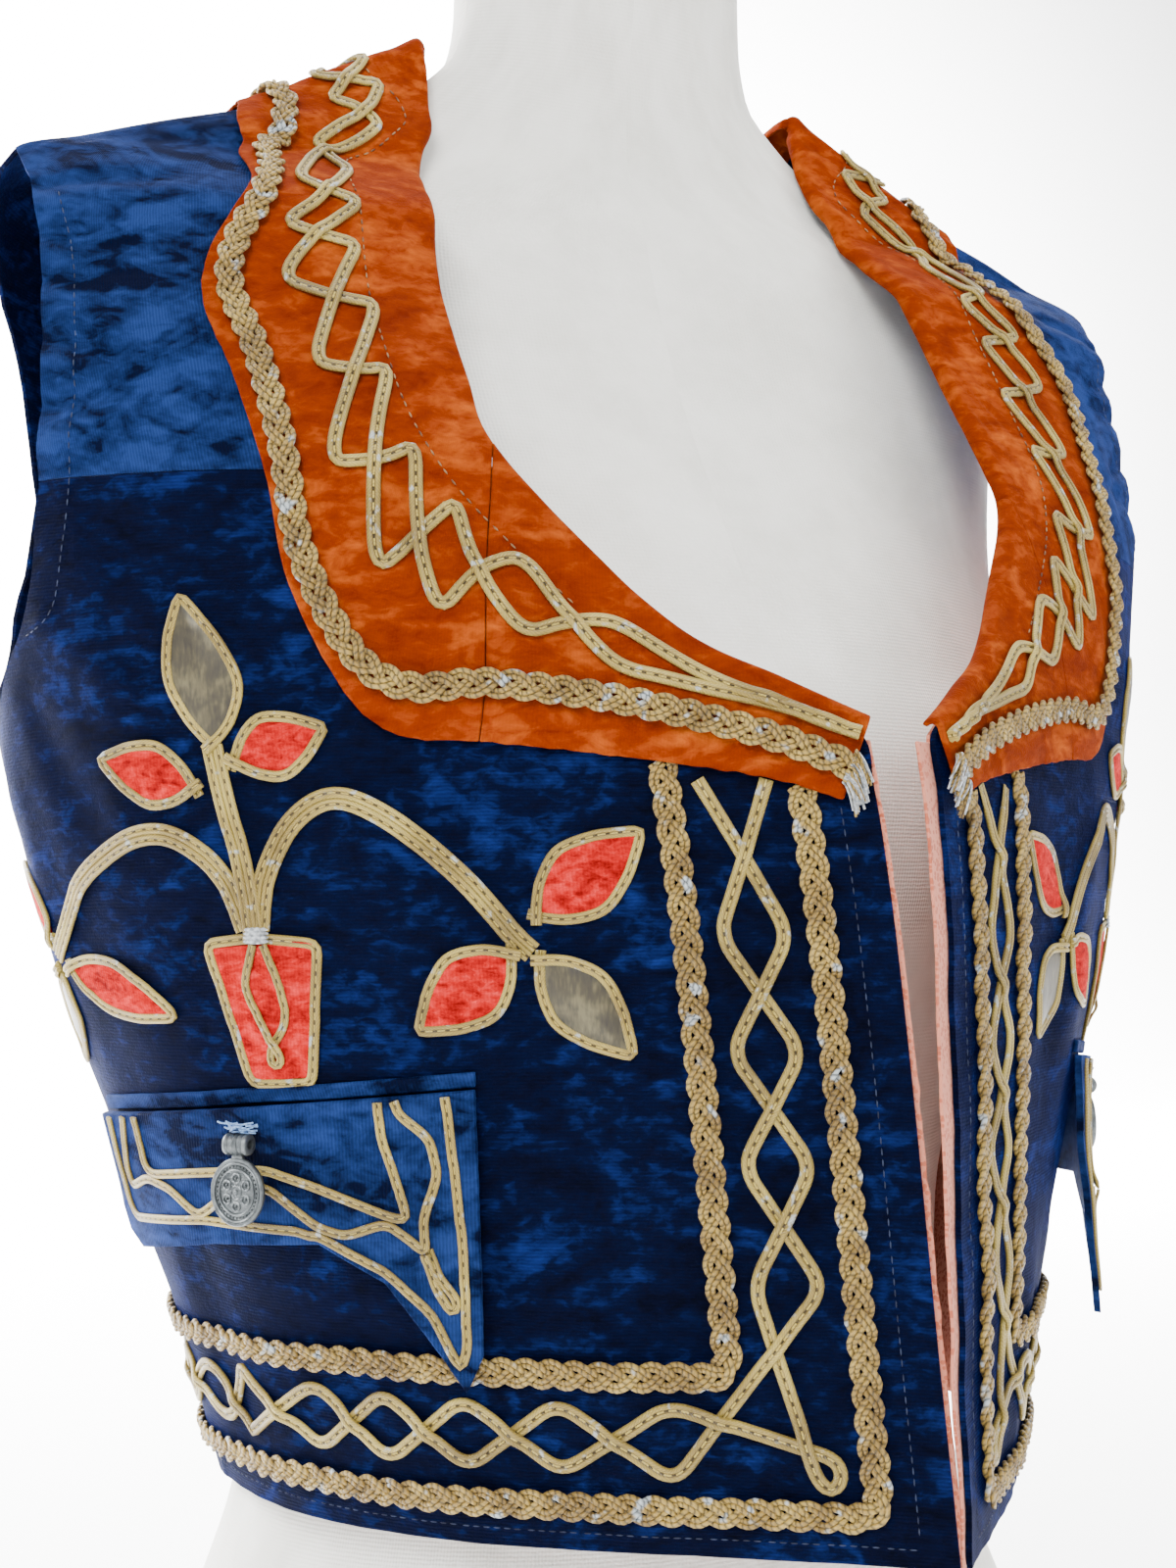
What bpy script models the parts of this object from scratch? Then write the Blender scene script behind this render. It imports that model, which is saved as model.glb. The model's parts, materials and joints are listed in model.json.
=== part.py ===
"""Embroidered folk vest on a limbless dress form.

The file is in metres, +Z up. The fronts face -Y and the wearer's right is at -X. The origin is
the middle of the form's flat base. Sizes below are in millimetres and become metres when a
mesh is made.

The cloth follows one surface, the fit of the vest. A place on it is a turn and a height: turn
is 0 where the fronts meet, 1 at the side or the top of the shoulder, and 2 at the centre back;
height is measured up from the hem. Each panel, braid and patch is laid out in those terms.
"""

import math
from functools import lru_cache

import bmesh
import bpy
from mathutils import Matrix, Vector

METRE = 0.001           # one millimetre, in metres
HEM_HEIGHT = 200        # hem of the vest above the base of the form

VELVET = 1.6            # wall of the velvet panels
LINING = 1.0            # wall of the cotton lining
COLLAR = 1.8            # wall of the applied collar
SEAM_GAP = 0.3          # clear gap at a seam
LAY_GAP = 0.8           # gap under a piece that lies on a panel, over the facets
COLLAR_GAP = 2.0        # gap under the collar, which crosses the hollow of the neck
COLLAR_TOP = COLLAR_GAP + COLLAR + 1.7      # lift of the braid on the collar

PLAIT_WIDTH = 10.0
PLAIT_HEIGHT = 3.0
CORD_WIDTH = 4.0        # soutache, a flat twin cord
CORD_HEIGHT = 1.4
SIDE_TURN = 1.08        # side seam, a little behind the side
SIDES = {"right": -1, "left": 1}

# Fit of the vest, one row for each height above the hem.
# height, half_width, front_depth, back_depth, side_y, prow (degrees), front_shift
VEST_SECTIONS = (
    (-30, 125, 180, 98, 0, 46, 16),
    (3, 134, 180, 100, 0, 44, 15),
    (48, 147, 180, 102, 0, 41, 13),
    (108, 168, 180, 108, 0, 38, 11),
    (168, 189, 179, 114, 0, 35, 9),
    (228, 204, 174, 118, 0, 31, 6),
    (288, 214, 135, 120, -9, 8, 4),
    (348, 221, 71, 118, -20, -17, 2),
    (388, 218, 49, 106, -20, -16, 0),
    (408, 206, 43, 96, -16, 0, 0),
    (416, 185, 41, 90, -13, 7, 0),
    (424, 162, 40, 82, -14, 9, 0),
    (433, 134, 36, 74, -14, 10, 0),
    (448, 105, 27, 60, -14, 11, 0),
    (464, 76, 20, 48, -14, 12, 0),
    (474, 60, 18, 42, -14, 12, 0),
)

# The dress form, in the same columns.
FORM_SECTIONS = (
    (-200, 156, 116, 116, 0, 0, 0),
    (-150, 163, 119, 122, 0, 0, 0),
    (-90, 158, 114, 118, 0, 0, 0),
    (-40, 140, 102, 104, 0, 0, 0),
    (-10, 130, 95, 93, 0, 0, 0),
    (30, 123, 91, 87, 0, 0, 0),
    (75, 124, 94, 88, 0, 0, 0),
    (130, 135, 106, 94, 0, 0, 0),
    (185, 148, 124, 100, 0, 0, 0),
    (220, 153, 130, 104, 0, 0, 0),
    (260, 156, 108, 107, -1, 0, 0),
    (310, 160, 78, 107, -4, 0, 0),
    (350, 165, 56, 100, -7, 0, 0),
    (380, 168, 44, 90, -9, 0, 0),
    (398, 166, 38, 80, -10, 0, 0),
    (408, 156, 35, 74, -11, 0, 0),
    (416, 138, 32, 69, -11, 0, 0),
    (426, 112, 26, 62, -11, 0, 0),
    (440, 90, 23, 55, -10, 0, 0),
    (456, 70, 23, 47, -9, 0, 0),
    (470, 58, 26, 43, -8, 0, 0),
    (490, 54, 30, 42, -8, 0, 0),
    (530, 53, 36, 40, -8, 0, 0),
)

# Collar, one row for each station from its front end to the centre back, with how far the
# plait's middle lies in from the outer edge.
# inner_turn, inner_height, outer_turn, outer_height, plait_inset
COLLAR_STATIONS = (
    (0.038, 227, 0.065, 207, 9.0),
    (0.098, 238, 0.120, 213, 11.0),
    (0.163, 251, 0.187, 217, 13.5),
    (0.223, 278, 0.275, 221, 15.5),
    (0.274, 307, 0.359, 224, 16.0),
    (0.281, 327, 0.430, 226, 13.5),
    (0.283, 342, 0.472, 238, 11.5),
    (0.283, 356, 0.497, 268, 10.5),
    (0.281, 368, 0.495, 300, 10.0),
    (0.278, 379, 0.510, 328, 10.0),
    (0.274, 390, 0.532, 352, 10.0),
    (0.270, 399, 0.519, 369, 10.5),
    (0.278, 410, 0.489, 384, 11.5),
    (0.338, 425, 0.462, 399, 12.0),
    (0.415, 437, 0.505, 412, 12.0),
    (0.520, 449, 0.625, 422, 12.0),
    (0.700, 459, 0.800, 429, 12.0),
    (1.000, 465, 1.000, 432, 12.0),
    (1.230, 463, 1.230, 427, 12.0),
    (1.450, 458, 1.450, 416, 12.0),
    (1.700, 452, 1.700, 404, 12.0),
    (2.000, 448, 2.000, 396, 12.0),
)
COLLAR_PIECING = 4      # station where the two side pieces of the collar are joined
COLLAR_SHOULDER = 17    # station on the shoulder seam

# Armhole, from the side seam up its front edge, and from the side seam up its back edge.
# turn, height
ARMHOLE_FRONT = ((1.075, 238), (1.0, 240), (0.93, 252), (0.875, 262), (0.84, 274), (0.795, 301),
                 (0.762, 335), (0.755, 368), (0.790, 392), (0.865, 403), (1.0, 408))
ARMHOLE_BACK = ((1.10, 240), (1.16, 247), (1.25, 262), (1.33, 290), (1.37, 325), (1.34, 360),
                (1.22, 389), (1.0, 408))
YOKE_STATION = 5        # station of ARMHOLE_FRONT where the yoke seam meets it

# Facets of the panels.
LEVELS = (0, 30, 62, 94, 126, 158, 186, 210)    # heights of rows below the armhole
FRONT_COLUMNS = 12
BACK_COLUMNS = 10       # on each side of the centre back

# Front border and hem border, measured from the front edge and up from the hem.
EDGE_AT_HEM = 3         # front edge from where the fronts meet, at the hem
EDGE_LEAN = 0.05        # and how far it leans away for each millimetre up
OUTER_PLAIT = 20
INNER_PLAIT = 57
HEM_PLAIT = 13
HEM_UPPER_PLAIT = 50
BORDER_TOP = 215        # where the border goes under the collar


# Soutache: two strands that cross again and again, with a corner half way between crossings.
FRONT_CROSSINGS = (188, 153, 124, 91, 59)          # heights
HEM_CROSSINGS = (64, 96, 125, 150, 173, 198, 235)  # lengths round the hem
CORNER_NEAR = 29        # corners by the outer plait, from the front edge
CORNER_FAR = 48         # corners by the inner plait
HEM_CORNER_LOW = 22     # corners by the lower hem plait
HEM_CORNER_HIGH = 42    # corners by the upper hem plait
COLLAR_CROSSINGS = (2.2, 3.1, 4.0, 5.3, 6.6, 7.8, 9.0, 10.4, 11.6, 12.8, 14.8, 16.1, 17.3, 18.5,
                    19.7)
COLLAR_CORNER_OUT = 0.25    # share of the way from the plait's middle to the inner edge
COLLAR_CORNER_IN = 0.64

# Flower pot motif, as lengths from where the fronts meet and heights.
PATCH = 0.8             # wall of the velvet and satin patches
POT = {"top": 169, "foot": 131, "centre": (187.5, 184.5), "top_width": 32, "foot_width": 18}
# leaf, finish, base_length, base_height, tip_length, tip_height, width
LEAVES = (
    ("leaf_top", "olive satin", 195, 226, 194, 264, 18),
    ("leaf_top_out", "red velvet", 203, 213, 230, 221, 15),
    ("leaf_top_in", "red velvet", 188, 220, 164, 228, 15),
    ("leaf_in_high", "red velvet", 108, 177, 80, 198, 18),
    ("leaf_in_side", "red velvet", 118, 165, 142, 146, 18),
    ("leaf_in_low", "olive satin", 108, 163, 86, 139, 17),
    ("leaf_out_high", "red velvet", 271, 172, 292, 192, 12),
    ("leaf_out_side", "red velvet", 258, 162, 219, 149, 13),
    ("leaf_out_low", "olive satin", 271, 160, 279, 134, 12),
)
STEM_WIDTH = 6.5        # two soutache cords side by side
# stem, route as (length, height) points
STEMS = (
    ("stem", ((188.5, 171), (190, 190), (193, 207), (195, 224))),
    ("branch_in", ((182, 190), (174, 203), (162, 209), (147, 203), (129, 187), (115, 171))),
    ("branch_out", ((196, 188), (205, 196), (216, 200), (230, 197), (249, 186), (263, 169))),
)

# Pocket flap, hanging proud of the front. Lengths round the front, heights, and its stand-off.
FLAP_TOP = {"in": (128.5, 129), "out": (264, 118)}
# share of the way out, height of the lower edge
FLAP_LOWER_EDGE = ((0.0, 57), (0.035, 47), (0.075, 55), (0.20, 76), (0.34, 86), (0.60, 84),
                   (0.90, 78), (0.97, 82), (1.0, 90))
FLAP_WALL = 2.2
FLAP_LIFT = 2.0         # clearance of the flap at its sewn edge
FLAP_STAND = {"right": 6, "left": 16}   # how far its points swing out
WELT_WIDTH = 4.0
COIN_RADIUS = 11.0
COIN_WALL = 1.6
COIN_PLACE = (195, 100)     # length and height of the coin's middle
BAIL_RISE = 14.0            # from the coin's middle to the bail's thread
BAIL_RADIUS = 3.2
BAIL_LENGTH = 8.0
BAIL_CLEAR = 1.0        # gap between the bail and the flap


# ---------------------------------------------------------------- the surface of the vest

def tangents(rows, column):
    """Monotone slopes of a table column, so that it is read without overshoot."""
    steps = [b[0] - a[0] for a, b in zip(rows, rows[1:])]
    rises = [(b[column] - a[column]) / step for a, b, step in zip(rows, rows[1:], steps)]
    slopes = [rises[0]]
    for i in range(1, len(rises)):
        if rises[i - 1] * rises[i] <= 0:
            slopes.append(0.0)
            continue
        before = 2 * steps[i] + steps[i - 1]
        after = steps[i] + 2 * steps[i - 1]
        slopes.append((before + after) / (before / rises[i - 1] + after / rises[i]))
    return slopes + [rises[-1]]


@lru_cache(maxsize=None)
def slopes_of(rows):
    return [None] + [tangents(rows, column) for column in range(1, len(rows[0]))]


@lru_cache(maxsize=None)
def section(rows, height):
    """All columns of a section table at one height."""
    height = min(max(height, rows[0][0]), rows[-1][0])
    i = 0
    while i < len(rows) - 2 and rows[i + 1][0] < height:
        i += 1
    low, high = rows[i], rows[i + 1]
    step = high[0] - low[0]
    t = (height - low[0]) / step
    values = []
    for column in range(1, len(low)):
        slope = slopes_of(rows)[column]
        values.append((1 + 2 * t) * (1 - t) ** 2 * low[column] + t * (1 - t) ** 2 * step * slope[i]
                      + t * t * (3 - 2 * t) * high[column] + t * t * (t - 1) * step * slope[i + 1])
    return values


@lru_cache(maxsize=None)
def quarter(rows, side, height, front):
    """Bezier points of a quarter of a section: centre front to side, or side to centre back."""
    half_width, front_depth, back_depth, side_y, prow, shift = section(rows, height)
    if front:
        width = half_width - side * shift
        depth = front_depth + side_y
        reach = 0.56 * width
        angle = math.radians(prow)
        corners = ((0, -front_depth),
                   (reach * math.cos(angle), reach * math.sin(angle) - front_depth),
                   (width, side_y - 0.5 * depth), (width, side_y))
        return [Vector((shift + side * x, y)) for x, y in corners]
    depth = back_depth - side_y
    corners = ((half_width, side_y), (half_width, side_y + 0.56 * depth),
               (0.6 * half_width, back_depth), (0, back_depth))
    return [Vector((side * x, y)) for x, y in corners]


def place(side, turn, height, rows=VEST_SECTIONS):
    """Point of the surface at a turn and a height, in millimetres, z from the hem."""
    front = turn <= 1
    a, b, c, d = quarter(rows, side, height, front)
    t = turn if front else turn - 1
    flat = a * (1 - t) ** 3 + b * 3 * t * (1 - t) ** 2 + c * 3 * t * t * (1 - t) + d * t ** 3
    return Vector((flat.x, flat.y, height))


def outward(side, turn, height):
    """Unit normal of the surface, pointing away from the body."""
    nudge = 0.002
    along = place(side, min(turn + nudge, 2), height) - place(side, max(turn - nudge, 0), height)
    up = place(side, turn, height + 0.5) - place(side, turn, height - 0.5)
    return (along.cross(up) * side).normalized()


def lifted(side, turn, height, lift):
    return place(side, turn, height) + outward(side, turn, height) * lift


@lru_cache(maxsize=None)
def front_arc(side, height):
    """Running length round the front at one height, as (turn, length) pairs."""
    pairs = [(0.0, 0.0)]
    for i in range(1, 61):
        turn = i / 50
        step = (place(side, turn, height) - place(side, turn - 0.02, height)).length
        pairs.append((turn, pairs[-1][1] + step))
    return pairs


def turn_at(side, length, height):
    """Turn at a length of cloth from where the fronts meet, along the level line."""
    pairs = front_arc(side, round(height, 1))
    for (turn_a, length_a), (turn_b, length_b) in zip(pairs, pairs[1:]):
        if length_b >= length:
            return turn_a + (turn_b - turn_a) * (length - length_a) / (length_b - length_a)
    return pairs[-1][0]


def edge_length(height):
    """Front edge, as a length from where the fronts meet."""
    return EDGE_AT_HEM + EDGE_LEAN * height


def smoothed(points, parts):
    """Catmull-Rom curve through the points, with so many parts to each span."""
    ends = [points[0], *points, points[-1]]
    curve = []
    for p, q, r, s in zip(ends, ends[1:], ends[2:], ends[3:]):
        for i in range(parts):
            t = i / parts
            curve.append(tuple(
                0.5 * (2 * b + (c - a) * t + (2 * a - 5 * b + 4 * c - d) * t ** 2
                       + (3 * b - a - 3 * c + d) * t ** 3)
                for a, b, c, d in zip(p, q, r, s)))
    return curve + [tuple(points[-1])]


def read_at(pairs, height):
    """Turn at a height on an edge given as (turn, height) pairs that climb."""
    for (turn_a, a), (turn_b, b) in zip(pairs, pairs[1:]):
        if height <= b:
            return turn_a + (turn_b - turn_a) * (height - a) / (b - a)
    return pairs[-1][0]


# ---------------------------------------------------------------- making objects

def finish_of(name, colour, roughness, metallic=0.0):
    material = bpy.data.materials.new(name)
    material.use_nodes = True
    shader = material.node_tree.nodes["Principled BSDF"]
    shader.inputs["Base Color"].default_value = (*colour, 1)
    shader.inputs["Roughness"].default_value = roughness
    shader.inputs["Metallic"].default_value = metallic
    return material


def sheet(name, near, far, finish):
    """Closed wall between two like grids of points: one for each face of the cloth."""
    across, along = len(near[0]), len(near)
    work = bmesh.new()
    bmesh.ops.create_grid(work, x_segments=across - 1, y_segments=along - 1, size=1)
    first = work.verts[:]
    copied = bmesh.ops.duplicate(work, geom=work.verts[:] + work.edges[:] + work.faces[:])
    second = [copied["vert_map"][vert] for vert in first]
    for verts, rows in ((first, near), (second, far)):
        for vert, point in zip(verts, [point for row in rows for point in row]):
            vert.co = (point + Vector((0, 0, HEM_HEIGHT))) * METRE
    rim = [edge for edge in work.edges if edge.is_boundary]
    bmesh.ops.bridge_loops(work, edges=rim)
    bmesh.ops.recalc_face_normals(work, faces=work.faces)
    mesh = bpy.data.meshes.new(name)
    work.to_mesh(mesh)
    work.free()
    return add_object(name, mesh, finish)


def add_object(name, mesh, finish):
    piece = bpy.data.objects.new(name, mesh)
    mesh.materials.append(finish)
    mesh.shade_smooth()
    mesh.set_sharp_from_angle(angle=math.radians(40))
    COLLECTION.objects.link(piece)
    return piece


def cloth(name, places, lift, wall, finish):
    """Wall through rows of (side, turn, height) places, its inner face lifted off the surface."""
    inner = [[lifted(*spot, lift) for spot in row] for row in places]
    outer = [[lifted(*spot, lift + wall) for spot in row] for row in places]
    return sheet(name, inner, outer, finish)


def ribbon(name, spots, width, lift, wall, finish):
    """Flat strip of one width along (side, turn, height) spots."""
    centres = [lifted(*spot, lift) for spot in spots]
    inner, outer = [], []
    last = len(centres) - 1
    for i, centre in enumerate(centres):
        up = outward(*spots[i])
        ahead = (centres[min(i + 1, last)] - centre).normalized()
        behind = (centre - centres[max(i - 1, 0)]).normalized()
        along = (ahead + behind).normalized()
        mitre = max(along.dot(ahead or behind), 0.75)
        across = along.cross(up).normalized() * (width / 2 / mitre)
        inner.append([centre - across, centre + across])
        outer.append([point + up * wall for point in inner[-1]])
    return sheet(name, inner, outer, finish)


# ---------------------------------------------------------------- panels

def blend(a, b, t):
    return a + (b - a) * t


def spread(side, inner, outer, columns):
    """Row of places from an inner to an outer (turn, height)."""
    return [(side, blend(inner[0], outer[0], i / columns), blend(inner[1], outer[1], i / columns))
            for i in range(columns + 1)]


def beside_top(side, height, distance):
    """Turn at a short distance behind the top of the shoulder, or in front of it if negative."""
    return 1 + distance / ((place(side, 1, height) - place(side, 0.99, height)).length * 100)


def neckline(height):
    """Inner edge of the panels under the collar, a little inside the collar's own edge."""
    inner = [(row[0] + 0.012, row[1]) for row in COLLAR_STATIONS[:COLLAR_SHOULDER + 1]]
    return read_at(inner, height)


def front_rows(side):
    """Rows of the front panel, from the hem to the yoke seam."""
    rows = []
    for height in LEVELS:
        edge = turn_at(side, edge_length(height), height)
        rows.append(spread(side, (edge, height), (SIDE_TURN, height), FRONT_COLUMNS))
    neck_levels = (226, 237, 248, 260, 272, 300.8)
    for height, outer in zip(neck_levels, ARMHOLE_FRONT[:YOKE_STATION + 1]):
        rows.append(spread(side, (neckline(height), height), outer, FRONT_COLUMNS))
    rows[-1] = [(s, turn, 300.8) for s, turn, _ in rows[-1]]
    return rows


def yoke_rows(side):
    """Rows of the yoke, from its seam on the front to the shoulder seam."""
    neck_levels = (301.2, 335, 368, 392, 408, 422, 440, 463)
    corners = ARMHOLE_FRONT[YOKE_STATION:]
    outers = [(0.795, 301.2), *corners[1:4], (0.835, 400), (0.890, 404.5), (0.95, 407),
              (1.0, 408)]
    rows = [spread(side, (neckline(height), height), outer, 9)
            for height, outer in zip(neck_levels, outers)]
    rows[-1] = [(s, beside_top(side, height, -SEAM_GAP / 2), height) for s, _, height in rows[-1]]
    return rows


def back_rows():
    """Rows of the back, each from the right edge through the centre back to the left edge."""
    edges = [(SIDE_TURN + 0.003, height, height) for height in (*LEVELS, 226)]
    edges.append((SIDE_TURN + 0.003, 238, 240))
    armhole_centres = (250, 270, 297, 322, 346, 369)
    edges += [(turn, height, centre)
              for (turn, height), centre in zip(ARMHOLE_BACK[1:7], armhole_centres)]
    shoulder = ((408, 386), (414, 395), (420, 403), (427, 411), (436, 420), (447, 429),
                (456, 437), (463, 445))
    edges += [(beside_top(1, height, SEAM_GAP / 2), height, centre) for height, centre in shoulder]
    rows = []
    for turn, height, centre in edges:
        half = []
        for i in range(BACK_COLUMNS):
            reach = 1 - i / BACK_COLUMNS
            half.append((blend(2, turn, reach), blend(centre, height, reach ** 2)))
        row = [(-1, *spot) for spot in half] + [(-1, 2.0, centre)]
        rows.append(row + [(1, *spot) for spot in reversed(half)])
    return rows


def collar_rows(side, first, last, parts, columns=6):
    """Rows of the collar between two of its stations, inner edge to outer edge."""
    curve = smoothed(COLLAR_STATIONS, parts)[first * parts:last * parts + 1]
    return [spread(side, row[:2], row[2:4], columns) for row in curve]


def make_panels(finishes):
    for name, side in SIDES.items():
        front = front_rows(side)
        cloth(f"front_{name}", front, -VELVET, VELVET, finishes["navy velvet"])
        cloth(f"lining_{name}", front, -VELVET - SEAM_GAP - LINING, LINING,
              finishes["coral cotton"])
        cloth(f"yoke_{name}", yoke_rows(side), -VELVET, VELVET, finishes["royal velvet"])
    cloth("back", back_rows(), -VELVET, VELVET, finishes["navy velvet"])


def make_collar(finishes):
    """Applied collar: a front piece and a side piece on each side, and one across the back."""
    orange = finishes["orange velvet"]

    def to_shoulder(row, distance):
        return [(side, beside_top(side, height, distance), height) for side, _, height in row]

    backs = []
    for name, side in SIDES.items():
        front = collar_rows(side, 0, COLLAR_PIECING, 2)
        rest = collar_rows(side, COLLAR_PIECING, COLLAR_SHOULDER, 1)
        front[-1] = [(s, turn - 0.001, height) for s, turn, height in front[-1]]
        rest[0] = [(s, turn + 0.001, height) for s, turn, height in rest[0]]
        rest[-1] = to_shoulder(rest[-1], -SEAM_GAP / 2)
        cloth(f"collar_front_{name}", front, COLLAR_GAP, COLLAR, orange)
        cloth(f"collar_side_{name}", rest, COLLAR_GAP, COLLAR, orange)
        behind = collar_rows(side, COLLAR_SHOULDER, len(COLLAR_STATIONS) - 1, 2)
        behind[0] = to_shoulder(behind[0], SEAM_GAP / 2)
        backs.append(behind)
    right, left = backs
    cloth("collar_back", right + left[-2::-1], COLLAR_GAP, COLLAR, orange)


# ---------------------------------------------------------------- plaits

def along_front(side, route):
    """Spots of a route given as (length from the front line, height)."""
    return [(side, turn_at(side, length, height), height) for length, height in route]


def back_hem(side, height, parts):
    """Spots along the hem from the side to just short of the centre back."""
    return [(side, blend(1.15, 1.998, i / parts), height) for i in range(parts + 1)]


def hem_lengths(side, first, height, step):
    """Lengths round the front from first to the side, about a step apart."""
    last = front_arc(side, round(height, 1))[-8][1]
    parts = max(round((last - first) / step), 1)
    return [blend(first, last, i / parts) for i in range(parts + 1)]


def border_plait(side, offset, hem_height, top):
    """Plait down the front border, round its corner and along the hem to the centre back."""
    parts = 9
    corner = 4
    down = [blend(top, hem_height + corner, i / parts) for i in range(parts + 1)]
    route = [(edge_length(height) + offset, height) for height in down]
    first = edge_length(hem_height) + offset + corner
    route += [(length, hem_height) for length in hem_lengths(side, first, hem_height, 15)]
    return along_front(side, route) + back_hem(side, hem_height, 12)


def collar_spot(side, station, share):
    """Place on the collar at a station, share 0 on the plait's middle, 1 on the inner edge."""
    curve = smoothed(COLLAR_STATIONS, 4)
    i = min(int(station * 4), len(curve) - 2)
    inner_turn, inner_height, outer_turn, outer_height, inset = (
        blend(a, b, station * 4 - i) for a, b in zip(curve[i], curve[i + 1]))
    outer = place(side, outer_turn, outer_height)
    along = inset / (place(side, inner_turn, inner_height) - outer).length
    along = blend(along, 1, share)
    return (side, blend(outer_turn, inner_turn, along), blend(outer_height, inner_height, along))


def make_plaits(finishes):
    plait = finishes["plaited cord"]
    for name, side in SIDES.items():
        outer = border_plait(side, OUTER_PLAIT, HEM_PLAIT, BORDER_TOP - 14)
        inner = border_plait(side, INNER_PLAIT, HEM_UPPER_PLAIT, BORDER_TOP - 4)
        stations = len(COLLAR_STATIONS) - 1
        round_collar = [collar_spot(side, blend(0, stations - 0.01, i / 48), 0)
                        for i in range(49)]
        ribbon(f"plait_outer_{name}", outer, PLAIT_WIDTH, LAY_GAP, PLAIT_HEIGHT, plait)
        ribbon(f"plait_inner_{name}", inner, PLAIT_WIDTH, LAY_GAP, PLAIT_HEIGHT, plait)
        ribbon(f"plait_collar_{name}", round_collar, PLAIT_WIDTH, COLLAR_TOP, PLAIT_HEIGHT,
               plait)


# ---------------------------------------------------------------- soutache

def cornered(route, reach, step):
    """Route with each corner eased over a reach, and straights cut to short steps."""
    eased = [route[0]]
    for before, corner, after in zip(route, route[1:], route[2:]):
        for end in (before, after):
            length = math.dist(end, corner)
            share = min(reach / length, 0.45)
            eased.append(tuple(blend(c, e, share) for c, e in zip(corner, end)))
            if end is before:
                eased.append(None)
        a, b = eased[-3], eased[-1]
        eased[-2] = tuple((p + 2 * c + q) / 4 for p, c, q in zip(a, corner, b))
    eased.append(route[-1])
    fine = [eased[0]]
    for a, b in zip(eased, eased[1:]):
        parts = max(math.ceil(math.dist(a, b) / step), 1)
        fine += [tuple(blend(p, q, i / parts) for p, q in zip(a, b)) for i in range(1, parts + 1)]
    return fine


def zigzag(crossings, low, high, start_low):
    """Corners half way between crossings, low and high in turn, as (place, offset)."""
    corners = []
    for i, (a, b) in enumerate(zip(crossings, crossings[1:])):
        corners.append(((a + b) / 2, low if (i % 2 == 0) == start_low else high))
    return corners


def border_strand(side, starts_near):
    """One soutache strand of the border: down the front, round the corner, along the hem."""
    def from_edge(offset, height):
        return (edge_length(height) + offset, height)

    first = CORNER_NEAR if starts_near else CORNER_FAR
    route = [from_edge(first, BORDER_TOP - 11)]
    route += [from_edge(offset, height) for height, offset in
              zigzag(FRONT_CROSSINGS, CORNER_NEAR, CORNER_FAR, not starts_near)]
    if starts_near:
        route += [(79, HEM_CORNER_LOW - 1)]
    else:
        route += [(41, 31), (38.5, 23.5), (44, 22.8), (47, 29), (80, HEM_CORNER_HIGH)]
    route += zigzag(HEM_CROSSINGS[1:], HEM_CORNER_LOW, HEM_CORNER_HIGH, not starts_near)
    flat = cornered(route, 5, 12)
    last_low = (len(HEM_CROSSINGS) % 2 == 0) == starts_near
    spots = along_front(side, [spot for spot in flat if spot[0] <= HEM_CROSSINGS[-1]])
    side_turn = spots[-1][1]
    count = 9
    pitch = (2 - side_turn) / (count - 0.5)
    back = [(side_turn, spots[-1][2])]
    for i in range(count):
        high = (i % 2 == 0) == last_low
        back.append((side_turn + pitch * (i + 0.5), HEM_CORNER_HIGH if high else HEM_CORNER_LOW))
    back[-1] = (1.985, (HEM_CORNER_LOW + HEM_CORNER_HIGH) / 2)
    scale = 150     # a turn of the back, in millimetres, so that steps are even
    stretched = cornered([(turn * scale, height) for turn, height in back], 5, 14)
    return spots + [(side, turn / scale, height) for turn, height in stretched[1:]]


def collar_strand(side, starts_out):
    """One soutache strand of the collar, from its front end to the centre back."""
    route = [(0.1, 0.76), (1.3, 0.56 if starts_out else 0.62)]
    route += zigzag(COLLAR_CROSSINGS, COLLAR_CORNER_OUT, COLLAR_CORNER_IN, starts_out)
    last = len(COLLAR_STATIONS) - 1
    route += [(last - 0.12, (COLLAR_CORNER_OUT + COLLAR_CORNER_IN) / 2)]
    station_run, share_run = 22, 50     # rough millimetres of a station and of the whole share
    flat = [(station * station_run, share * share_run) for station, share in route]
    return [collar_spot(side, along / station_run, across / share_run)
            for along, across in cornered(flat, 5, 11)]


def make_soutache(finishes):
    cord = finishes["soutache"]
    above = CORD_HEIGHT + 0.9
    for name, side in SIDES.items():
        for strand, starts, rise in (("a", True, 0), ("b", False, above)):
            ribbon(f"soutache_border_{strand}_{name}", border_strand(side, starts), CORD_WIDTH,
                   LAY_GAP + rise, CORD_HEIGHT, cord)
            ribbon(f"soutache_collar_{strand}_{name}", collar_strand(side, starts), CORD_WIDTH,
                   COLLAR_TOP + rise, CORD_HEIGHT, cord)


# ---------------------------------------------------------------- flower pot motif

def patch(name, side, axis, half_widths, finish):
    """Patch round a straight axis, given half widths as (share of the axis, half width)."""
    (base_length, base_height), (tip_length, tip_height) = axis
    along = Vector((tip_length - base_length, tip_height - base_height))
    across = Vector((-along.y, along.x)).normalized()
    rows = []
    for share, half in half_widths:
        middle = Vector(axis[0]) + along * share
        row = []
        for offset in (-half, 0, half):
            spot = middle + across * offset
            row.append((side, turn_at(side, spot.x, spot.y), spot.y))
        rows.append(row)
    cloth(name, rows, LAY_GAP, PATCH, finish)


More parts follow.
